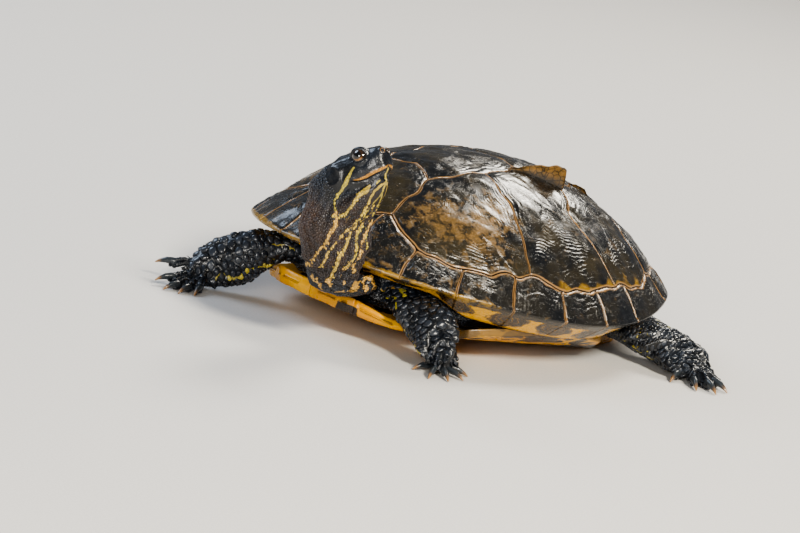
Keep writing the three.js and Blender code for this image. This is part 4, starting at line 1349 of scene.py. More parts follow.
# Rings of a large scale and of a granule: share of the reach, and share of the height
SCALE_RINGS = [(1.0, -0.15), (0.96, 0.4), (0.8, 0.82), (0.42, 1.0)]
GRANULE_RINGS = [(1.0, -0.1), (0.8, 0.75)]
STRIPE_SCALE = 2.0                  # widest scales along a stripe, whose field is over the edge value
STRIPE_EDGE = -0.6
SCALE_TILT = 0.35                   # how much higher the far edge of a scale lies, in heights


def build_scales(name, skin, allowed, region, material, corners, rings, bulk, gap, seed, per_area):
    """Domed scales, one over each scattered place, joined into one mesh with its own unwrap."""
    axis, base, stretch, places_sized = region
    path = spline(np.array(axis, dtype=float), 4)
    limb = unit(path[-1] - path[0])
    widen = np.eye(3) + (stretch - 1) * np.outer(limb, limb)
    tree = BVHTree.FromObject(skin, bpy.context.evaluated_depsgraph_get())
    stripe = read_field(skin.data, "stripe")

    def size_at(spots):
        size = wanted_size(spots, base, places_sized)
        striped = stripe[nearest_vertices(skin, tree, spots)] > STRIPE_EDGE
        return np.where(striped, np.minimum(size, STRIPE_SCALE), size)

    places, facing, size = scatter(skin, allowed, size_at, widen, seed, per_area)
    _, along = nearest_on_path(places, path)
    index = np.clip(along.astype(int), 0, len(path) - 2)
    towards = unit(path[index + 1] - path[index])
    first, second = tangents(facing, towards)
    reach, ways = cell_reach(places, size, first, second, widen, stretch, corners, gap)
    offsets = (np.cos(ways)[None, :, None] / stretch * first[:, None]
               + np.sin(ways)[None, :, None] * second[:, None])
    wanted = (places[:, None] + offsets * reach[:, :, None] + SHIFT) * MM
    nearest = [tree.find_nearest(Vector(point))[0] for point in wanted.reshape(-1, 3)]
    rim = np.array(nearest).reshape(wanted.shape) / MM - SHIFT
    height = np.minimum(size / stretch, reach.mean(axis=1) * 2) * bulk
    tilt = SCALE_TILT * np.maximum(np.cos(ways), 0)
    layers = [places[:, None] + (rim - places[:, None]) * share
              + facing[:, None] * (height[:, None] * (lift + tilt * share))[:, :, None]
              for share, lift in rings]
    top = places[:, None] + facing[:, None] * height[:, None, None] * 1.04
    bottom = places[:, None] - facing[:, None] * height[:, None, None] * 0.5
    solid = np.concatenate([*layers, top, bottom], axis=1)
    solid[:, :, 2] = np.maximum(solid[:, :, 2], 0.02)
    per_scale = solid.shape[1]
    loops, totals = [], []
    for ring in range(len(rings) - 1):
        for i in range(corners):
            a, b = ring * corners + i, ring * corners + (i + 1) % corners
            loops += [a, b, b + corners, a + corners]
            totals.append(4)
    last = (len(rings) - 1) * corners
    for i in range(corners):
        after = (i + 1) % corners
        loops += [last + i, last + after, per_scale - 2, after, i, per_scale - 1]
        totals += [3, 3]
    loops, totals = np.array(loops), np.array(totals)
    count = len(places)
    mesh = bpy.data.meshes.new(name)
    mesh.vertices.add(count * per_scale)
    mesh.loops.add(count * len(loops))
    mesh.polygons.add(count * len(totals))
    all_loops = (loops[None] + np.arange(count)[:, None] * per_scale).ravel()
    starts = np.concatenate([[0], np.cumsum(np.tile(totals, count))[:-1]])
    mesh.loops.foreach_set("vertex_index", all_loops.astype(np.int32))
    mesh.polygons.foreach_set("loop_start", starts.astype(np.int32))
    piece = bpy.data.objects.new(name, mesh)
    bpy.context.scene.collection.objects.link(piece)
    write_points(mesh, solid.reshape(-1, 3))
    mesh.update(calc_edges=True)
    mesh.validate()
    ring_share = [share for share, _ in rings]
    local = np.vstack([np.column_stack([np.cos(ways), np.sin(ways)]) * share for share in ring_share]
                      + [[[0, 0], [0, 0]]]) * PATCH / 2
    radial = places - path[index]
    up = np.array([0.1, 0.2, 1.0])
    side_way = unit(np.cross(towards, up))
    top_way = np.cross(side_way, towards)
    spin = np.arctan2(np.sum(radial * side_way, axis=1), np.sum(radial * top_way, axis=1))
    root = np.column_stack([0.5 + spin / (2 * math.pi) * 0.94, 0.04 + 0.92 * along / len(path)])
    unwrap = (root[:, None] + local[None]).reshape(-1, 2)
    layer = mesh.uv_layers.new(name="OFBake")
    layer.data.foreach_set("uv", unwrap[all_loops].ravel().astype(np.float32))
    roots = nearest_vertices(skin, tree, places)
    for title in MARKINGS:
        set_field(mesh, title, np.repeat(read_field(skin.data, title)[roots], per_scale))
    rng = np.random.default_rng(seed)
    set_field(mesh, "tint", np.repeat(rng.random(count), per_scale))
    activate(piece)
    bpy.ops.object.shade_smooth()
    piece.data.materials.append(material)
    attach(piece, "root")
    return piece


def scale_region(skin, name):
    """Which points of the skin bear scales: a limb clear of the floor, or the rough neck."""
    region = np.rint(read_field(skin.data, "region")).astype(int)
    points, normals = model_points(skin.data), read_normals(skin.data)
    if name == "neck":
        back, _, up = head_local(points)
        throat = smooth(14, 17, back) * smooth(12, 14, -up)
        loose = np.maximum(smooth(26, 32, back - 0.25 * up), throat)
        return np.isin(region, [FLESH.index("neck"), FLESH.index("head")]) & (loose > 0.5) & (back < 70)
    if name == "trunk":
        level = carry_back(points)
        _, reach = polar(level[:, 0], level[:, 1])
        return (region == FLESH.index(name)) & (reach > 0.74) & (np.abs(level[:, 1]) > 48)
    return (region == FLESH.index(name)) & ((normals[:, 2] > -0.75) | (points[:, 2] > 4))


# ---- Eyes ----
EYE_GRID = (64, 48)                 # faces round an eyeball, and from its gaze to its back
EYE_PLAY = 0.03                     # how far the eyeball lies within the solid one


def build_eye(word, side, material):
    """An eyeball whose fields give the angle from its gaze and how high each point lies."""
    outwards, along, upwards = (axis_on_side(axis, side) for axis in eye_frame())
    centre = on_side(EYE_PLACE, side)
    columns, rows = EYE_GRID

    def shape(column, row):
        away = math.pi * row / rows
        around = 2 * math.pi * (column % columns) / columns
        ways = (np.cos(away)[:, None] * outwards + np.sin(away)[:, None] * (
            np.cos(around)[:, None] * along + np.sin(around)[:, None] * upwards))
        radius = EYE_RADIUS - EYE_PLAY + CORNEA_RISE * hump(away, 0.5)
        return centre + ways * radius[:, None], {"gaze": np.degrees(away), "height": ways @ upwards}

    piece = grid_piece("eyeball_" + word, columns, rows, shape)
    fit_out(piece, material, "eye", "eye_" + word)


# ---- Claws ----
CLAW_PROFILE = {"along": [-0.14, -0.1, 0.1, 0.45, 0.8, 0.97, 1.0],
                "half": [0, 0.95, 0.98, 0.82, 0.46, 0.18, 0.0],
                "height": [1, 1, 1.0, 0.9, 0.52, 0.17, 0.12]}


CLAW_GRID = (16, 22)                # faces round a claw and along it


def build_claw(name, number, kind, palm, toe):
    turn, reach, rise = toe
    angle = math.radians(turn)
    forwards = np.array([math.cos(angle), math.sin(angle), 0])
    sideways = np.array([-math.sin(angle), math.cos(angle), 0])
    columns, rows = CLAW_GRID

    def shape(column, row):
        along = np.interp(row / rows, np.linspace(0, 1, len(CLAW_PROFILE["along"])), CLAW_PROFILE["along"])
        half = np.interp(along, CLAW_PROFILE["along"], CLAW_PROFILE["half"]) * kind["claw"]
        height = np.interp(along, CLAW_PROFILE["along"], CLAW_PROFILE["height"]) * kind["toe"] + rise
        around = 2 * math.pi * (column % columns) / columns
        level = reach - CLAW_LENGTH + along * CLAW_LENGTH
        ridge = 1 + 0.08 * np.cos(around * 2)
        points = (np.array([palm[0], palm[1], 0]) + level[:, None] * forwards
                  + (half * np.sin(around) * 0.94)[:, None] * sideways
                  + (height + half * np.cos(around) * ridge)[:, None] * np.array([0, 0, 1]))
        points[:, 2] = np.maximum(points[:, 2], 0.02)
        return points, {"along": along}

    return grid_piece(name + "_claw_" + str(number), columns, rows, shape)


def build_claws(name, material):
    kind, palm, toes = FEET[name]
    claws = [build_claw(name, number + 1, kind, palm, toe) for number, toe in enumerate(toes)]
    piece = join_pieces("claws_" + name.replace("leg_", ""), claws)
    fit_out(piece, material, "claw_horn")


# ---- Lifted flakes of horn ----
# Base in the level shell's plan, then heights along it, how far the top leans, and thickness
FLAKES = {
    "flake_upper": (
        [(18.8, -6), (22.5, 5), (28, 15), (33, 24)],
        [(0, 0), (0.25, 3), (0.5, 6.6), (0.75, 10), (0.88, 11.6), (0.94, 10.5), (0.98, 6), (1, 0)],
        3.2, 0.5),
    "flake_lower": (
        [(17, 44), (19.5, 51), (21, 58)], [(0, 0), (0.3, 1.8), (0.7, 2.5), (1, 0)], 1.6, 0.4),
}


def build_flake(name, material):
    """A thin upstanding flake: up one face to its ragged edge and down the other."""
    base, heights, lean, thickness = FLAKES[name]
    base = spline(np.array(base, dtype=float), 0.5)
    up_rows, rows = 14, 72
    columns = up_rows * 2

    def shape(column, row):
        u = row / rows
        face = np.where(column % columns < up_rows, 1, -1)
        climb = np.where(column % columns < up_rows, column % columns, columns - column % columns) / up_rows
        at = u * (len(base) - 1)
        plan = np.column_stack([np.interp(at, np.arange(len(base)), base[:, axis]) for axis in (0, 1)])
        along = unit(base[-1] - base[0])
        outwards = np.array([along[1], -along[0]])
        ragged = 1 + 0.035 * waves(np.column_stack([u * 40, u * 0]), 5, 71) * smooth(0, 0.2, u) * (
            1 - smooth(0.85, 1, u))
        height = np.interp(u, *np.array(heights).T) * climb * ragged
        curl = lean * climb ** 2.2 * np.interp(u, *np.array(heights).T) / max(h for _, h in heights)
        buckle = 0.35 * waves(np.column_stack([u * 30, climb * 8]), 6, 72) * climb
        half = thickness / 2 * (1 - 0.6 * climb) * np.minimum(1, 6 * u * (1 - u) + 0.02)
        level = plan + outwards * (curl + buckle + face * half * (climb < 1))[:, None]
        ground = dome_height(plan[:, 0], plan[:, 1]) - 0.5
        points = pinch(np.column_stack([level, ground + height]), row, (0, rows))
        return carry(points), {"climb": climb, "run": u}

    piece = grid_piece(name, columns, rows, shape)
    fit_out(piece, material, "carapace_horn")


# ---- Shader building ----
def between(operation):
    """A method that reckons with two values by the node of this operation."""
    return lambda first, second: reckon(first.tree, operation, first, second)


class Value:
    """A number within a shader; reckoning with it adds the nodes that do so."""

    def __init__(self, tree, socket):
        self.tree, self.socket = tree, socket

    def __rsub__(self, other):
        return reckon(self.tree, "SUBTRACT", other, self)

    __add__, __sub__, __mul__ = between("ADD"), between("SUBTRACT"), between("MULTIPLY")
    __truediv__, __pow__ = between("DIVIDE"), between("POWER")


def plug(tree, value, socket):
    """Links a value or another socket to a socket, or sets it to plain numbers."""
    if isinstance(value, Value):
        value = value.socket
    if isinstance(value, bpy.types.NodeSocket):
        tree.links.new(value, socket)
    else:
        socket.default_value = value


def shade(tree, kind, inputs, **settings):
    """Adds a shader node with its inputs and settings."""
    made = tree.nodes.new("ShaderNode" + kind)
    for key, value in settings.items():
        setattr(made, key, value)
    for key, value in inputs.items():
        plug(tree, value, made.inputs[key])
    return made


def reckon(tree, operation, *values):
    made = shade(tree, "Math", dict(enumerate(values)), operation=operation)
    return Value(tree, made.outputs[0])


def field(tree, name):
    return Value(tree, shade(tree, "Attribute", {}, attribute_name=name).outputs["Fac"])


def object_coordinates(tree):
    return shade(tree, "TexCoord", {}).outputs["Object"]


def mapped(tree, **settings):
    """Object coordinates, turned or stretched."""
    inputs = {"Vector": object_coordinates(tree), **settings}
    return shade(tree, "Mapping", inputs).outputs[0]


def noise_at(tree, where, scale, detail, roughness, distortion=0.0):
    made = shade(tree, "TexNoise", {
        "Vector": where, "Scale": scale, "Detail": detail, "Roughness": roughness,
        "Distortion": distortion})
    return Value(tree, made.outputs["Fac"])


def noise(tree, scale, detail=3.0, roughness=0.55, distortion=0.0):
    """Noise on object coordinates; scale is in features to the metre."""
    return noise_at(tree, object_coordinates(tree), scale, detail, roughness, distortion)


def cell_edges(tree, scale):
    """Distance to the nearest border of a net of uneven cells."""
    made = shade(tree, "TexVoronoi", {
        "Vector": object_coordinates(tree), "Scale": scale}, feature="DISTANCE_TO_EDGE")
    return Value(tree, made.outputs["Distance"])


def ramp(value, low, high, start=0.0, end=1.0):
    """A smooth step from start to end as the value goes from low to high."""
    made = shade(value.tree, "MapRange", {
        "Value": value, "From Min": low, "From Max": high, "To Min": start, "To Max": end},
        interpolation_type="SMOOTHSTEP")
    return Value(value.tree, made.outputs["Result"])


def rgba(colour):
    return colour if isinstance(colour, bpy.types.NodeSocket) else (*colour[:3], 1.0)


def blend(share, low, high):
    """Mixes two colours; each is a socket or a row of numbers."""
    return shade(share.tree, "Mix", {0: share, 6: rgba(low), 7: rgba(high)},
                 data_type="RGBA").outputs[2]


def new_group(name, inputs, outputs):
    """Starts a shader node group whose inputs are numbers and whose outputs have a kind each."""
    tree = bpy.data.node_groups.new(name, "ShaderNodeTree")
    for title in inputs:
        tree.interface.new_socket(name=title, in_out="INPUT", socket_type="NodeSocketFloat")
    for title, kind in outputs.items():
        tree.interface.new_socket(name=title, in_out="OUTPUT", socket_type="NodeSocket" + kind)
    taken, given = tree.nodes.new("NodeGroupInput"), tree.nodes.new("NodeGroupOutput")
    return tree, {title: Value(tree, taken.outputs[title]) for title in inputs}, given.inputs


def use_group(tree, name, inputs):
    return shade(tree, "Group", inputs, node_tree=bpy.data.node_groups[name]).outputs


def fine_wear_group():
    """Scratches and pits that several horny surfaces share, as a height and a mask."""
    tree, taken, given = new_group("Fine wear", ["Scale"], {"Height": "Float", "Mask": "Float"})
    drawn_out = mapped(tree, Rotation=(0.3, 0.5, 0.9), Scale=(1, 0.22, 1))
    scratch = noise_at(tree, drawn_out, taken["Scale"], 4.0, 0.6)
    pits = noise(tree, taken["Scale"] * 3.1, 2.0, 0.5)
    plug(tree, scratch + ramp(pits, 0.3, 0.42) * 0.35, given["Height"])
    plug(tree, ramp(scratch, 0.4, 0.62), given["Mask"])


def worn_horn(tree, scale):
    """The height and the mask of the wear on a horny surface."""
    worn = use_group(tree, "Fine wear", {"Scale": scale})
    return Value(tree, worn["Height"]), Value(tree, worn["Mask"])


def new_material(name):
    material = bpy.data.materials.new(name)
    material.use_nodes = True
    material.node_tree.nodes.clear()
    return material, material.node_tree


NO_COAT = (0.0, 0.03)               # weight and roughness


def finish(material, colour, roughness, coat, height=None, bump=0.0):
    """Gives a material its colour, roughness, the coat's weight and roughness, and fine relief,
    which rises up to the bump's depth in metres."""
    tree = material.node_tree
    inputs = {"Base Color": colour, "Roughness": roughness,
              "Coat Weight": coat[0], "Coat Roughness": coat[1]}
    if height is not None:
        inputs["Normal"] = shade(tree, "Bump", {
            "Strength": 1.0, "Distance": bump, "Height": height}).outputs[0]
    shader = shade(tree, "BsdfPrincipled", inputs)
    plug(tree, shader.outputs[0], shade(tree, "OutputMaterial", {}).inputs["Surface"])
    return material


def underside_colour(tree, colours):
    """Yellow horn with a dark ringed blotch across each seam of the rim's underside."""
    seam, part = field(tree, "seam"), field(tree, "part")
    jitter = (noise(tree, 120) - 0.5) * 1.1
    across = (seam / 11.5) ** 2.0
    down = reckon(tree, "ABSOLUTE", (part - 0.48) / 0.46) ** 2.0
    oval = reckon(tree, "SQRT", across + down) + jitter
    blot = ramp(oval, 0.86, 1.0, 1.0, 0.0)
    rings = ramp(reckon(tree, "SINE", oval * 24.0), 0.7, 1.0, 0.0, 0.22)
    lined = blend(rings, colours.blotch_brown, colours.plastron_yellow)
    return blend(blot, colours.plastron_yellow, lined)


def growth_rings(tree, edge, medium, spacing):
    """Fine broken ripples that follow the outline of each plate, as a height."""
    phase = edge / spacing + noise(tree, 70, 2.0) * 3.0 + medium * 1.2
    shown = ramp(noise(tree, 55) + medium * 0.4, 0.62, 0.86) * field(tree, "rings")
    return reckon(tree, "SINE", phase * math.tau) * shown


def carapace_material(name):
    colours = bpy.context.scene.turtle_shell
    material, tree = new_material(name)
    edge, tan = field(tree, "edge"), field(tree, "tan")
    broad = noise(tree, 45, 4.0, 0.6)
    medium = noise(tree, 190, 5.0, 0.62, 0.6)
    fine = noise(tree, 800)
    on_rim = name == "marginal_horn"
    olive = ramp(broad, 0.38, 0.66, 0.0, 0.45 if on_rim else 1.0)
    colour = blend(olive, colours.horn_dark, colours.horn_olive)
    worn_share = medium + tan * (0.18 if on_rim else 0.3) + fine * 0.15
    mottle = ramp(worn_share, 0.66, 0.92, 0.0, 0.9)
    colour = blend(mottle, colour, colours.horn_brown)
    flecks = ramp(fine * 0.6 + tan * 0.16, 0.42, 0.52, 0.0, 0.4)
    colour = blend(flecks * mottle, colour, colours.seam_tan)
    stain = ramp(field(tree, "yellow") * (medium + 0.15), 0.3, 0.7, 0.0, 0.6)
    colour = blend(stain, colour, colours.stain_yellow)
    seam = ramp(edge + medium * 1.4, 1.05, 1.6, 0.8, 0.0)
    colour = blend(seam, colour, colours.seam_tan)
    groove = ramp(edge, 0.05, 0.28, 0.95, 0.0)
    colour = blend(groove, colour, colours.horn_dark)
    if on_rim:
        rim = ramp(field(tree, "rim") * (medium + broad), 0.72, 1.0, 0.0, 0.7)
        colour = blend(rim, colour, colours.stain_yellow)
        under = ramp(field(tree, "under") + (medium - 0.5) * 0.6, 0.35, 0.6)
        colour = blend(under, colour, underside_colour(tree, colours))
    wear_height, wear_mask = worn_horn(tree, 330.0)
    rough = ramp(medium + wear_mask * 0.25, 0.4, 0.95, 0.17, 0.36)
    rings = growth_rings(tree, edge, medium, colours.ring_spacing)
    height = rings * 0.45 + medium * 0.5 + wear_height * 0.25
    relief_depth = colours.ring_height * (2.2 if on_rim else 1.0)
    return finish(material, colour, rough, (0.25, 0.12), height, relief_depth * MM)


def plastron_material():
    colours = bpy.context.scene.turtle_shell
    material, tree = new_material("plastron_horn")
    broad, medium = noise(tree, 60), noise(tree, 210, 4.0, 0.6)
    patches = ramp(broad, 0.3, 0.7)
    colour = blend(patches, colours.plastron_yellow, colours.plastron_deep)
    # The blot field holds the plates' own dark blots and, at the left front lip, painted shade
    blot = ramp(field(tree, "blot") + (medium - 0.5) * 0.6, 0.5, 0.62)
    colour = blend(blot, colour, colours.blotch_brown)
    streaks = noise_at(tree, mapped(tree, Scale=(1.0, 0.45, 1.0)), 75, 3.0, 0.5, 0.9)
    net = reckon(tree, "ABSOLUTE", streaks - 0.5)
    colour = blend(ramp(net, 0.045, 0.075) * field(tree, "bridge"), colour,
                   colours.blotch_brown)
    nicks = ramp(noise(tree, 420, 2.0), 0.69, 0.73) * 0.8
    colour = blend(nicks, colour, colours.horn_brown)
    seam = ramp(field(tree, "edge") + medium, 0.55, 1.0, 0.85, 0.0)
    colour = blend(seam, colour, colours.horn_brown)
    wear_height, wear_mask = worn_horn(tree, 240.0)
    rough = ramp(wear_mask, 0.0, 1.0, 0.27, 0.42)
    return finish(material, colour, rough, (0.15, 0.15), wear_height, 0.0002)


# ---- Stage ----
def floor_material():
    material, tree = new_material("pale_floor")
    grain = noise(tree, 900, 2.0)
    colour = blend(ramp(grain, 0.3, 0.7), (0.62, 0.6, 0.57), (0.66, 0.645, 0.62))
    return finish(material, colour, 0.75, NO_COAT, grain, 0.00005)


FLOOR_SIZE = 9                      # metres
CAMERA_PLACE = (1491.4, -1641.0, 519.7)
CAMERA_RIGHT = (0.6811, 0.7, 0.2148)
CAMERA_UP = (-0.307, 0.0067, 0.9517)
CAMERA_LENS = 204.43
CAMERA_SENSOR = 36
CAMERA_REACH = (0.1, 30)            # nearest and farthest place that the camera sees, in metres
AIM = Vector((0, 0, 0.04))          # where the lamps point
SKY = {"Color": (0.86, 0.91, 1.0, 1), "Strength": 0.2}
# Each lamp: place in metres, size, power and colour
LAMPS = {
    "overhead": ((-0.35, 1.1, 1.15), 0.6, 20, (1.0, 0.94, 0.83)),
    "sky": ((-1.1, -0.5, 1.0), 0.9, 13, (0.7, 0.82, 1.0)),
    "key": ((1.35, -0.2, 1.15), 0.4, 38, (1.0, 0.93, 0.8)),
    "front": ((0.95, -1.45, 0.55), 0.6, 16, (1.0, 0.96, 0.9)),
}


def build_floor():
    deselect()
    bpy.ops.mesh.primitive_grid_add(x_subdivisions=4, y_subdivisions=4, size=FLOOR_SIZE)
    floor = bpy.context.object
    floor.name = floor.data.name = "floor"
    floor.data.materials.append(floor_material())


def build_lights():
    for name, (place, size, power, colour) in LAMPS.items():
        bpy.ops.object.light_add(type="AREA", location=place)
        lamp = bpy.context.object
        lamp.name = name
        lamp.data.shape = "DISK"
        lamp.data.size, lamp.data.energy, lamp.data.color = size, power, colour
        lamp.rotation_euler = (AIM - Vector(place)).to_track_quat("-Z", "Y").to_euler()
    world = bpy.data.worlds.new("studio")
    world.use_nodes = True
    for key, value in SKY.items():
        world.node_tree.nodes["Background"].inputs[key].default_value = value
    bpy.context.scene.world = world
    bpy.context.scene.view_settings.look = "AgX - Medium High Contrast"


def build_camera():
    bpy.ops.object.camera_add()
    camera = bpy.context.object
    right, up = Vector(CAMERA_RIGHT).normalized(), Vector(CAMERA_UP)
    up = (up - right * up.dot(right)).normalized()
    turn = Matrix((right, up, right.cross(up))).transposed().to_4x4()
    camera.matrix_world = Matrix.Translation((Vector(CAMERA_PLACE) + Vector(SHIFT)) * MM) @ turn
    camera.data.sensor_width = CAMERA_SENSOR
    camera.data.lens = CAMERA_LENS
    camera.data.clip_start, camera.data.clip_end = CAMERA_REACH
    bpy.context.scene.camera = camera


# ---- Looks of the skin, scales, eyes, claws and flakes ----
def markings_group():
    """The colours that the skin and its scales share, from the fields that both carry."""
    colours = bpy.context.scene.turtle_skin
    tree, taken, given = new_group("Markings", MARKINGS, {"Color": "Color", "Mask": "Float"})
    broad, fine = noise(tree, 130), noise(tree, 700)
    dark = blend(ramp(broad, 0.35, 0.7), colours.skin_black, colours.skin_blue)
    brown = blend(ramp(broad, 0.3, 0.7), colours.neck_brown, colours.neck_dark)
    ground = blend(taken["brown"], dark, brown)
    # Reddish patch behind the head: partly the skin's own colour, partly a painted highlight on its
    # granules
    ground = blend(taken["nape"] * 0.7, ground, colours.nape_red)
    pale = blend(taken["warmth"], colours.stripe_green, colours.stripe_cream)
    jitter = (fine - 0.5) * 0.7
    stripe = ramp(taken["stripe"] + jitter, -0.12, 0.22)
    beak = ramp(taken["beak"] + jitter, -0.25, 0.4)
    colour = blend(stripe, ground, pale)
    plug(tree, blend(beak, colour, colours.beak_orange), given["Color"])
    plug(tree, reckon(tree, "MAXIMUM", stripe, beak), given["Mask"])


def place_markings(tree):
    return use_group(tree, "Markings", {name: field(tree, name) for name in MARKINGS})


def skin_material():
    material, tree = new_material("skin")
    marks = place_markings(tree)
    grain = ramp(cell_edges(tree, 850.0), 0.0, 0.35)
    fine = noise(tree, 1500)
    loose = field(tree, "brown") * 0.8 + 0.12
    black = bpy.context.scene.turtle_skin.skin_black
    # Darker towards the borders of the granules: painted shade in the grooves between them
    colour = blend((1.0 - grain) * 0.5, marks["Color"], black)
    height = grain * loose + fine * 0.15
    rough = ramp(fine + field(tree, "brown") * 0.35, 0.2, 1.0, 0.24, 0.46)
    return finish(material, colour, rough, (0.2, 0.15), height, 0.0003)


def scale_material():
    material, tree = new_material("scaled_skin")
    marks = place_markings(tree)
    tint, fine = field(tree, "tint"), noise(tree, 1300)
    # Bluish painted sheen on the scales off the stripes, stronger on some scales than others: a painted
    # reflection of the sky
    painted_sheen_share = tint * (1.0 - Value(tree, marks["Mask"])) * 0.2
    sheen = bpy.context.scene.turtle_skin.scale_sheen
    colour = blend(painted_sheen_share, marks["Color"], sheen)
    rough = ramp(tint * 0.5 + fine, 0.3, 1.3, 0.22, 0.42)
    return finish(material, colour, rough, (0.35, 0.14), fine, 0.00005)


def eye_material():
    colours = bpy.context.scene.turtle_skin
    material, tree = new_material("eye")
    gaze, height = field(tree, "gaze"), field(tree, "height")
    rays = ramp(noise(tree, 2600), 0.35, 0.6, 0.35, 1.0)
    low = ramp(height, -0.6, -0.25, 1.0, 0.12)
    ring = ramp(gaze, 26.0, 34.0) * ramp(gaze, 38.0, 43.0, 1.0, 0.0)
    iris = blend(ring * low * rays, colours.iris_dark, colours.iris_amber)
    pupil = ramp(gaze, 20.0, 23.0, 1.0, 0.0)
    colour = blend(pupil, iris, (0.001, 0.001, 0.001))
    colour = blend(ramp(gaze, 50.0, 56.0), colour, colours.neck_dark)
    return finish(material, colour, 0.12, (1.0, 0.02))


def claw_material():
    colours = bpy.context.scene.turtle_skin
    material, tree = new_material("claw_horn")
    streak = noise(tree, 600)
    tip = ramp(field(tree, "along") + streak * 0.25, 0.72, 1.1)
    colour = blend(tip, colours.claw_dark, colours.claw_amber)
    return finish(material, colour, 0.28, (0.25, 0.12), streak, 0.0001)


def flake_material():
    colours = bpy.context.scene.turtle_shell
    material, tree = new_material("flake_horn")
    medium = noise(tree, 260, 4.0, 0.62)
    cracks = ramp(cell_edges(tree, 330.0) + medium * 0.12, 0.08, 0.16, 1.0, 0.0)
    colour = blend(ramp(medium, 0.38, 0.62), colours.horn_brown, colours.flake_amber)
    foot = ramp(field(tree, "climb"), 0.0, 0.75, 0.9, 0.0)
    colour = blend(foot, colour, colours.horn_dark)
    colour = blend(cracks * 0.8, colour, colours.horn_dark)
    wear_height, _ = worn_horn(tree, 330.0)
    return finish(material, colour, 0.32, (0.2, 0.15), wear_height, 0.0003)


# ---- Settings a user would change ----
def colour_setting(name, description, default):
    return bpy.props.FloatVectorProperty(
        name=name, description=description, subtype="COLOR", size=3, min=0, max=1, default=default)


class TurtleShellSettings(bpy.types.PropertyGroup):
    horn_dark: colour_setting("Dark horn", "Darkest horn of the carapace", (0.0055, 0.006, 0.0068))
    horn_olive: colour_setting("Olive horn", "Lighter ground of the carapace", (0.032, 0.0245, 0.0115))
    horn_brown: colour_setting("Brown horn", "Worn, mottled horn", (0.15, 0.09, 0.029))
    seam_tan: colour_setting("Seams", "Thin pale lines along the seams", (0.36, 0.2, 0.075))
    stain_yellow: colour_setting("Yellow stain", "Stain low on the costals", (0.36, 0.2, 0.014))
    plastron_yellow: colour_setting("Plastron", "Yellow of the plastron", (0.78, 0.4, 0.008))
    plastron_deep: colour_setting("Deep yellow", "Deeper patches of the plastron", (0.64, 0.27, 0.005))
    blotch_brown: colour_setting("Blotches", "Dark marks of the underside", (0.022, 0.012, 0.007))
    flake_amber: colour_setting("Flakes", "Thin lifted horn", (0.25, 0.135, 0.036))
    ring_spacing: bpy.props.FloatProperty(
        name="Ring spacing", description="Millimetres between growth rings", default=1.7, min=1)
    ring_height: bpy.props.FloatProperty(
        name="Ring height", description="Millimetres that they rise", default=0.4, min=0)


class TurtleCarapace(bpy.types.Operator):
    """Models the large plates of the carapace"""
    bl_idname = "turtle.carapace"
    bl_label = "Carapace Plates"

    def execute(self, context):
        material = carapace_material("carapace_horn")
        for name, (runs, centre) in VERTEBRALS.items():
            edge = mirrored_outline([seam_run(run) for run in runs])
            build_carapace_plate(name, edge, centre, material)
        for word, side in SIDES.items():
            for number, (runs, centre) in COSTALS.items():
                edge = outline([seam_run(run) for run in runs]) * [[side, 1]]
                build_carapace_plate("costal_" + word + "_" + number, edge, [centre[0] * side, centre[1]],
                                     material)
        return {"FINISHED"}


class TurtleMarginals(bpy.types.Operator):
    """Models the plates round the rim of the carapace"""
    bl_idname = "turtle.marginals"
    bl_label = "Marginal Plates"

    def execute(self, context):
        material = carapace_material("marginal_horn")
        build_marginal("nuchal", -MARGINAL_SEAMS[0], MARGINAL_SEAMS[0], 1, material)
        for word, side in SIDES.items():
            for i, (start, end) in enumerate(zip(MARGINAL_SEAMS, MARGINAL_SEAMS[1:])):
                name = "marginal_" + word + "_" + str(i + 1)
                build_marginal(name, start, end, side, material)
        return {"FINISHED"}


class TurtlePlastron(bpy.types.Operator):
    """Models the plates of the plastron"""
    bl_idname = "turtle.plastron"
    bl_label = "Plastron Plates"

    def execute(self, context):
        material = plastron_material()
        for word, side in SIDES.items():
            for name in PLASTRON:
                build_plastron_plate(name, word, side, material)
        return {"FINISHED"}


class TurtleStage(bpy.types.Operator):
    """Sets the pale floor, the soft lamps and the camera"""
    bl_idname = "turtle.stage"
    bl_label = "Stage"

    def execute(self, context):
        build_floor()
        build_lights()
        build_camera()
        return {"FINISHED"}


class TurtleSkinSettings(bpy.types.PropertyGroup):
    skin_black: colour_setting("Black skin", "Darkest skin of head and limbs", (0.005, 0.0058, 0.0075))
    skin_blue: colour_setting("Blue skin", "Lighter skin of head and limbs", (0.013, 0.0175, 0.026))
    neck_brown: colour_setting("Brown neck", "Skin of the neck", (0.042, 0.0195, 0.009))
    neck_dark: colour_setting("Dark neck", "Darker skin of the neck", (0.012, 0.0078, 0.0055))
    # Colour of the nape patch: partly reddish skin, partly a painted highlight on its granules
    nape_red: colour_setting("Nape", "Reddish skin behind the head", (0.085, 0.037, 0.017))
    stripe_green: colour_setting("Green stripes", "Palest stripes", (0.52, 0.47, 0.06))
    stripe_cream: colour_setting("Cream stripes", "Warmest stripes", (0.66, 0.37, 0.11))
    # Colour of the painted sheen on the limbs' scales: a painted reflection of the sky, not a colour of the
    # scales
    scale_sheen: colour_setting("Scale sheen", "Palest of the limbs' scales", (0.1, 0.125, 0.175))
    beak_orange: colour_setting("Beak edge", "Edge of the jaws", (0.56, 0.26, 0.035))
    iris_dark: colour_setting("Iris", "Dark of the iris", (0.012, 0.007, 0.004))
    iris_amber: colour_setting("Amber", "Lower arc of the iris", (0.3, 0.13, 0.022))
    claw_dark: colour_setting("Claws", "Root of the claws", (0.03, 0.036, 0.042))
    claw_amber: colour_setting("Claw tips", "Tips of the claws", (0.3, 0.16, 0.06))


class TurtleSkin(bpy.types.Operator):
    """Models one skin over the head, neck, legs, tail and body"""
    bl_idname = "turtle.skin"
    bl_label = "Skin"

    def execute(self, context):
        skin = build_skin()
        fit_out(skin, skin_material(), "skin", *FLESH)
        return {"FINISHED"}


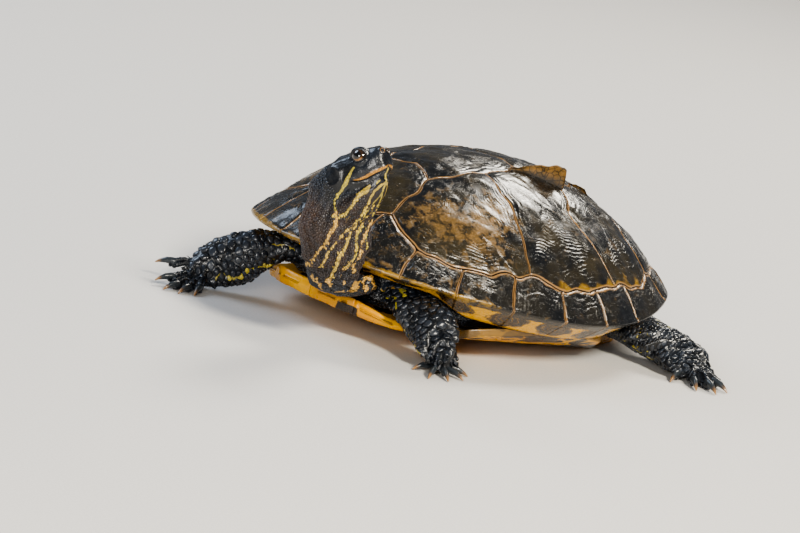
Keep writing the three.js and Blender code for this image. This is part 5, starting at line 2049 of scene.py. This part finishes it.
class TurtleScales(bpy.types.Operator):
    """Covers the legs and tail with scales and the neck with granules"""
    bl_idname = "turtle.scales"
    bl_label = "Scales"

    def execute(self, context):
        skin = bpy.data.objects["skin"]
        scaled = scale_material()
        for seed, name in enumerate([*FEET, "tail"]):
            build_scales("scales_" + name.replace("leg_", ""), skin, scale_region(skin, name),
                         REGIONS[name], scaled, 9, SCALE_RINGS, 0.22, 0.24, 80 + seed, 3)
        build_scales("granules_neck", skin, scale_region(skin, "neck"), REGIONS["neck"],
                     scaled, 6, GRANULE_RINGS, 0.2, 0.1, 90, 6)
        build_scales("granules_body", skin, scale_region(skin, "trunk"), REGIONS["trunk"],
                     scaled, 6, GRANULE_RINGS, 0.2, 0.12, 91, 4)
        return {"FINISHED"}


class TurtleEyes(bpy.types.Operator):
    """Models both eyeballs"""
    bl_idname = "turtle.eyes"
    bl_label = "Eyes"

    def execute(self, context):
        material = eye_material()
        for word, side in SIDES.items():
            build_eye(word, side, material)
        return {"FINISHED"}


class TurtleClaws(bpy.types.Operator):
    """Models the claws of all four feet"""
    bl_idname = "turtle.claws"
    bl_label = "Claws"

    def execute(self, context):
        material = claw_material()
        for name in FEET:
            build_claws(name, material)
        return {"FINISHED"}


class TurtleFlakes(bpy.types.Operator):
    """Models the flakes of horn that have lifted from the carapace"""
    bl_idname = "turtle.flakes"
    bl_label = "Lifted Flakes"

    def execute(self, context):
        material = flake_material()
        for name in FLAKES:
            build_flake(name, material)
        return {"FINISHED"}


class TurtlePanel(bpy.types.Panel):
    bl_label = "Turtle"
    bl_idname = "VIEW3D_PT_turtle"
    bl_space_type = "VIEW_3D"
    bl_region_type = "UI"
    bl_category = "Turtle"

    def draw(self, context):
        for group in SETTINGS:
            settings = getattr(context.scene, group)
            for key in SETTINGS[group].__annotations__:
                self.layout.prop(settings, key)
        for piece in OPERATORS:
            self.layout.operator(piece.bl_idname)


SETTINGS = {"turtle_shell": TurtleShellSettings, "turtle_skin": TurtleSkinSettings}
OPERATORS = [TurtleCarapace, TurtleMarginals, TurtlePlastron, TurtleFlakes, TurtleSkin, TurtleScales,
             TurtleEyes, TurtleClaws, TurtleStage]


def register():
    for name, group in SETTINGS.items():
        bpy.utils.register_class(group)
        setattr(bpy.types.Scene, name, bpy.props.PointerProperty(type=group))
    for kind in (*OPERATORS, TurtlePanel):
        bpy.utils.register_class(kind)


def unregister():
    for kind in (TurtlePanel, *reversed(OPERATORS)):
        bpy.utils.unregister_class(kind)
    for name, group in SETTINGS.items():
        delattr(bpy.types.Scene, name)
        bpy.utils.unregister_class(group)


def main():
    register()
    fine_wear_group()
    markings_group()
    for piece in OPERATORS:
        category, name = piece.bl_idname.split(".")
        getattr(getattr(bpy.ops, category), name)()


if __name__ == "__main__":
    main()
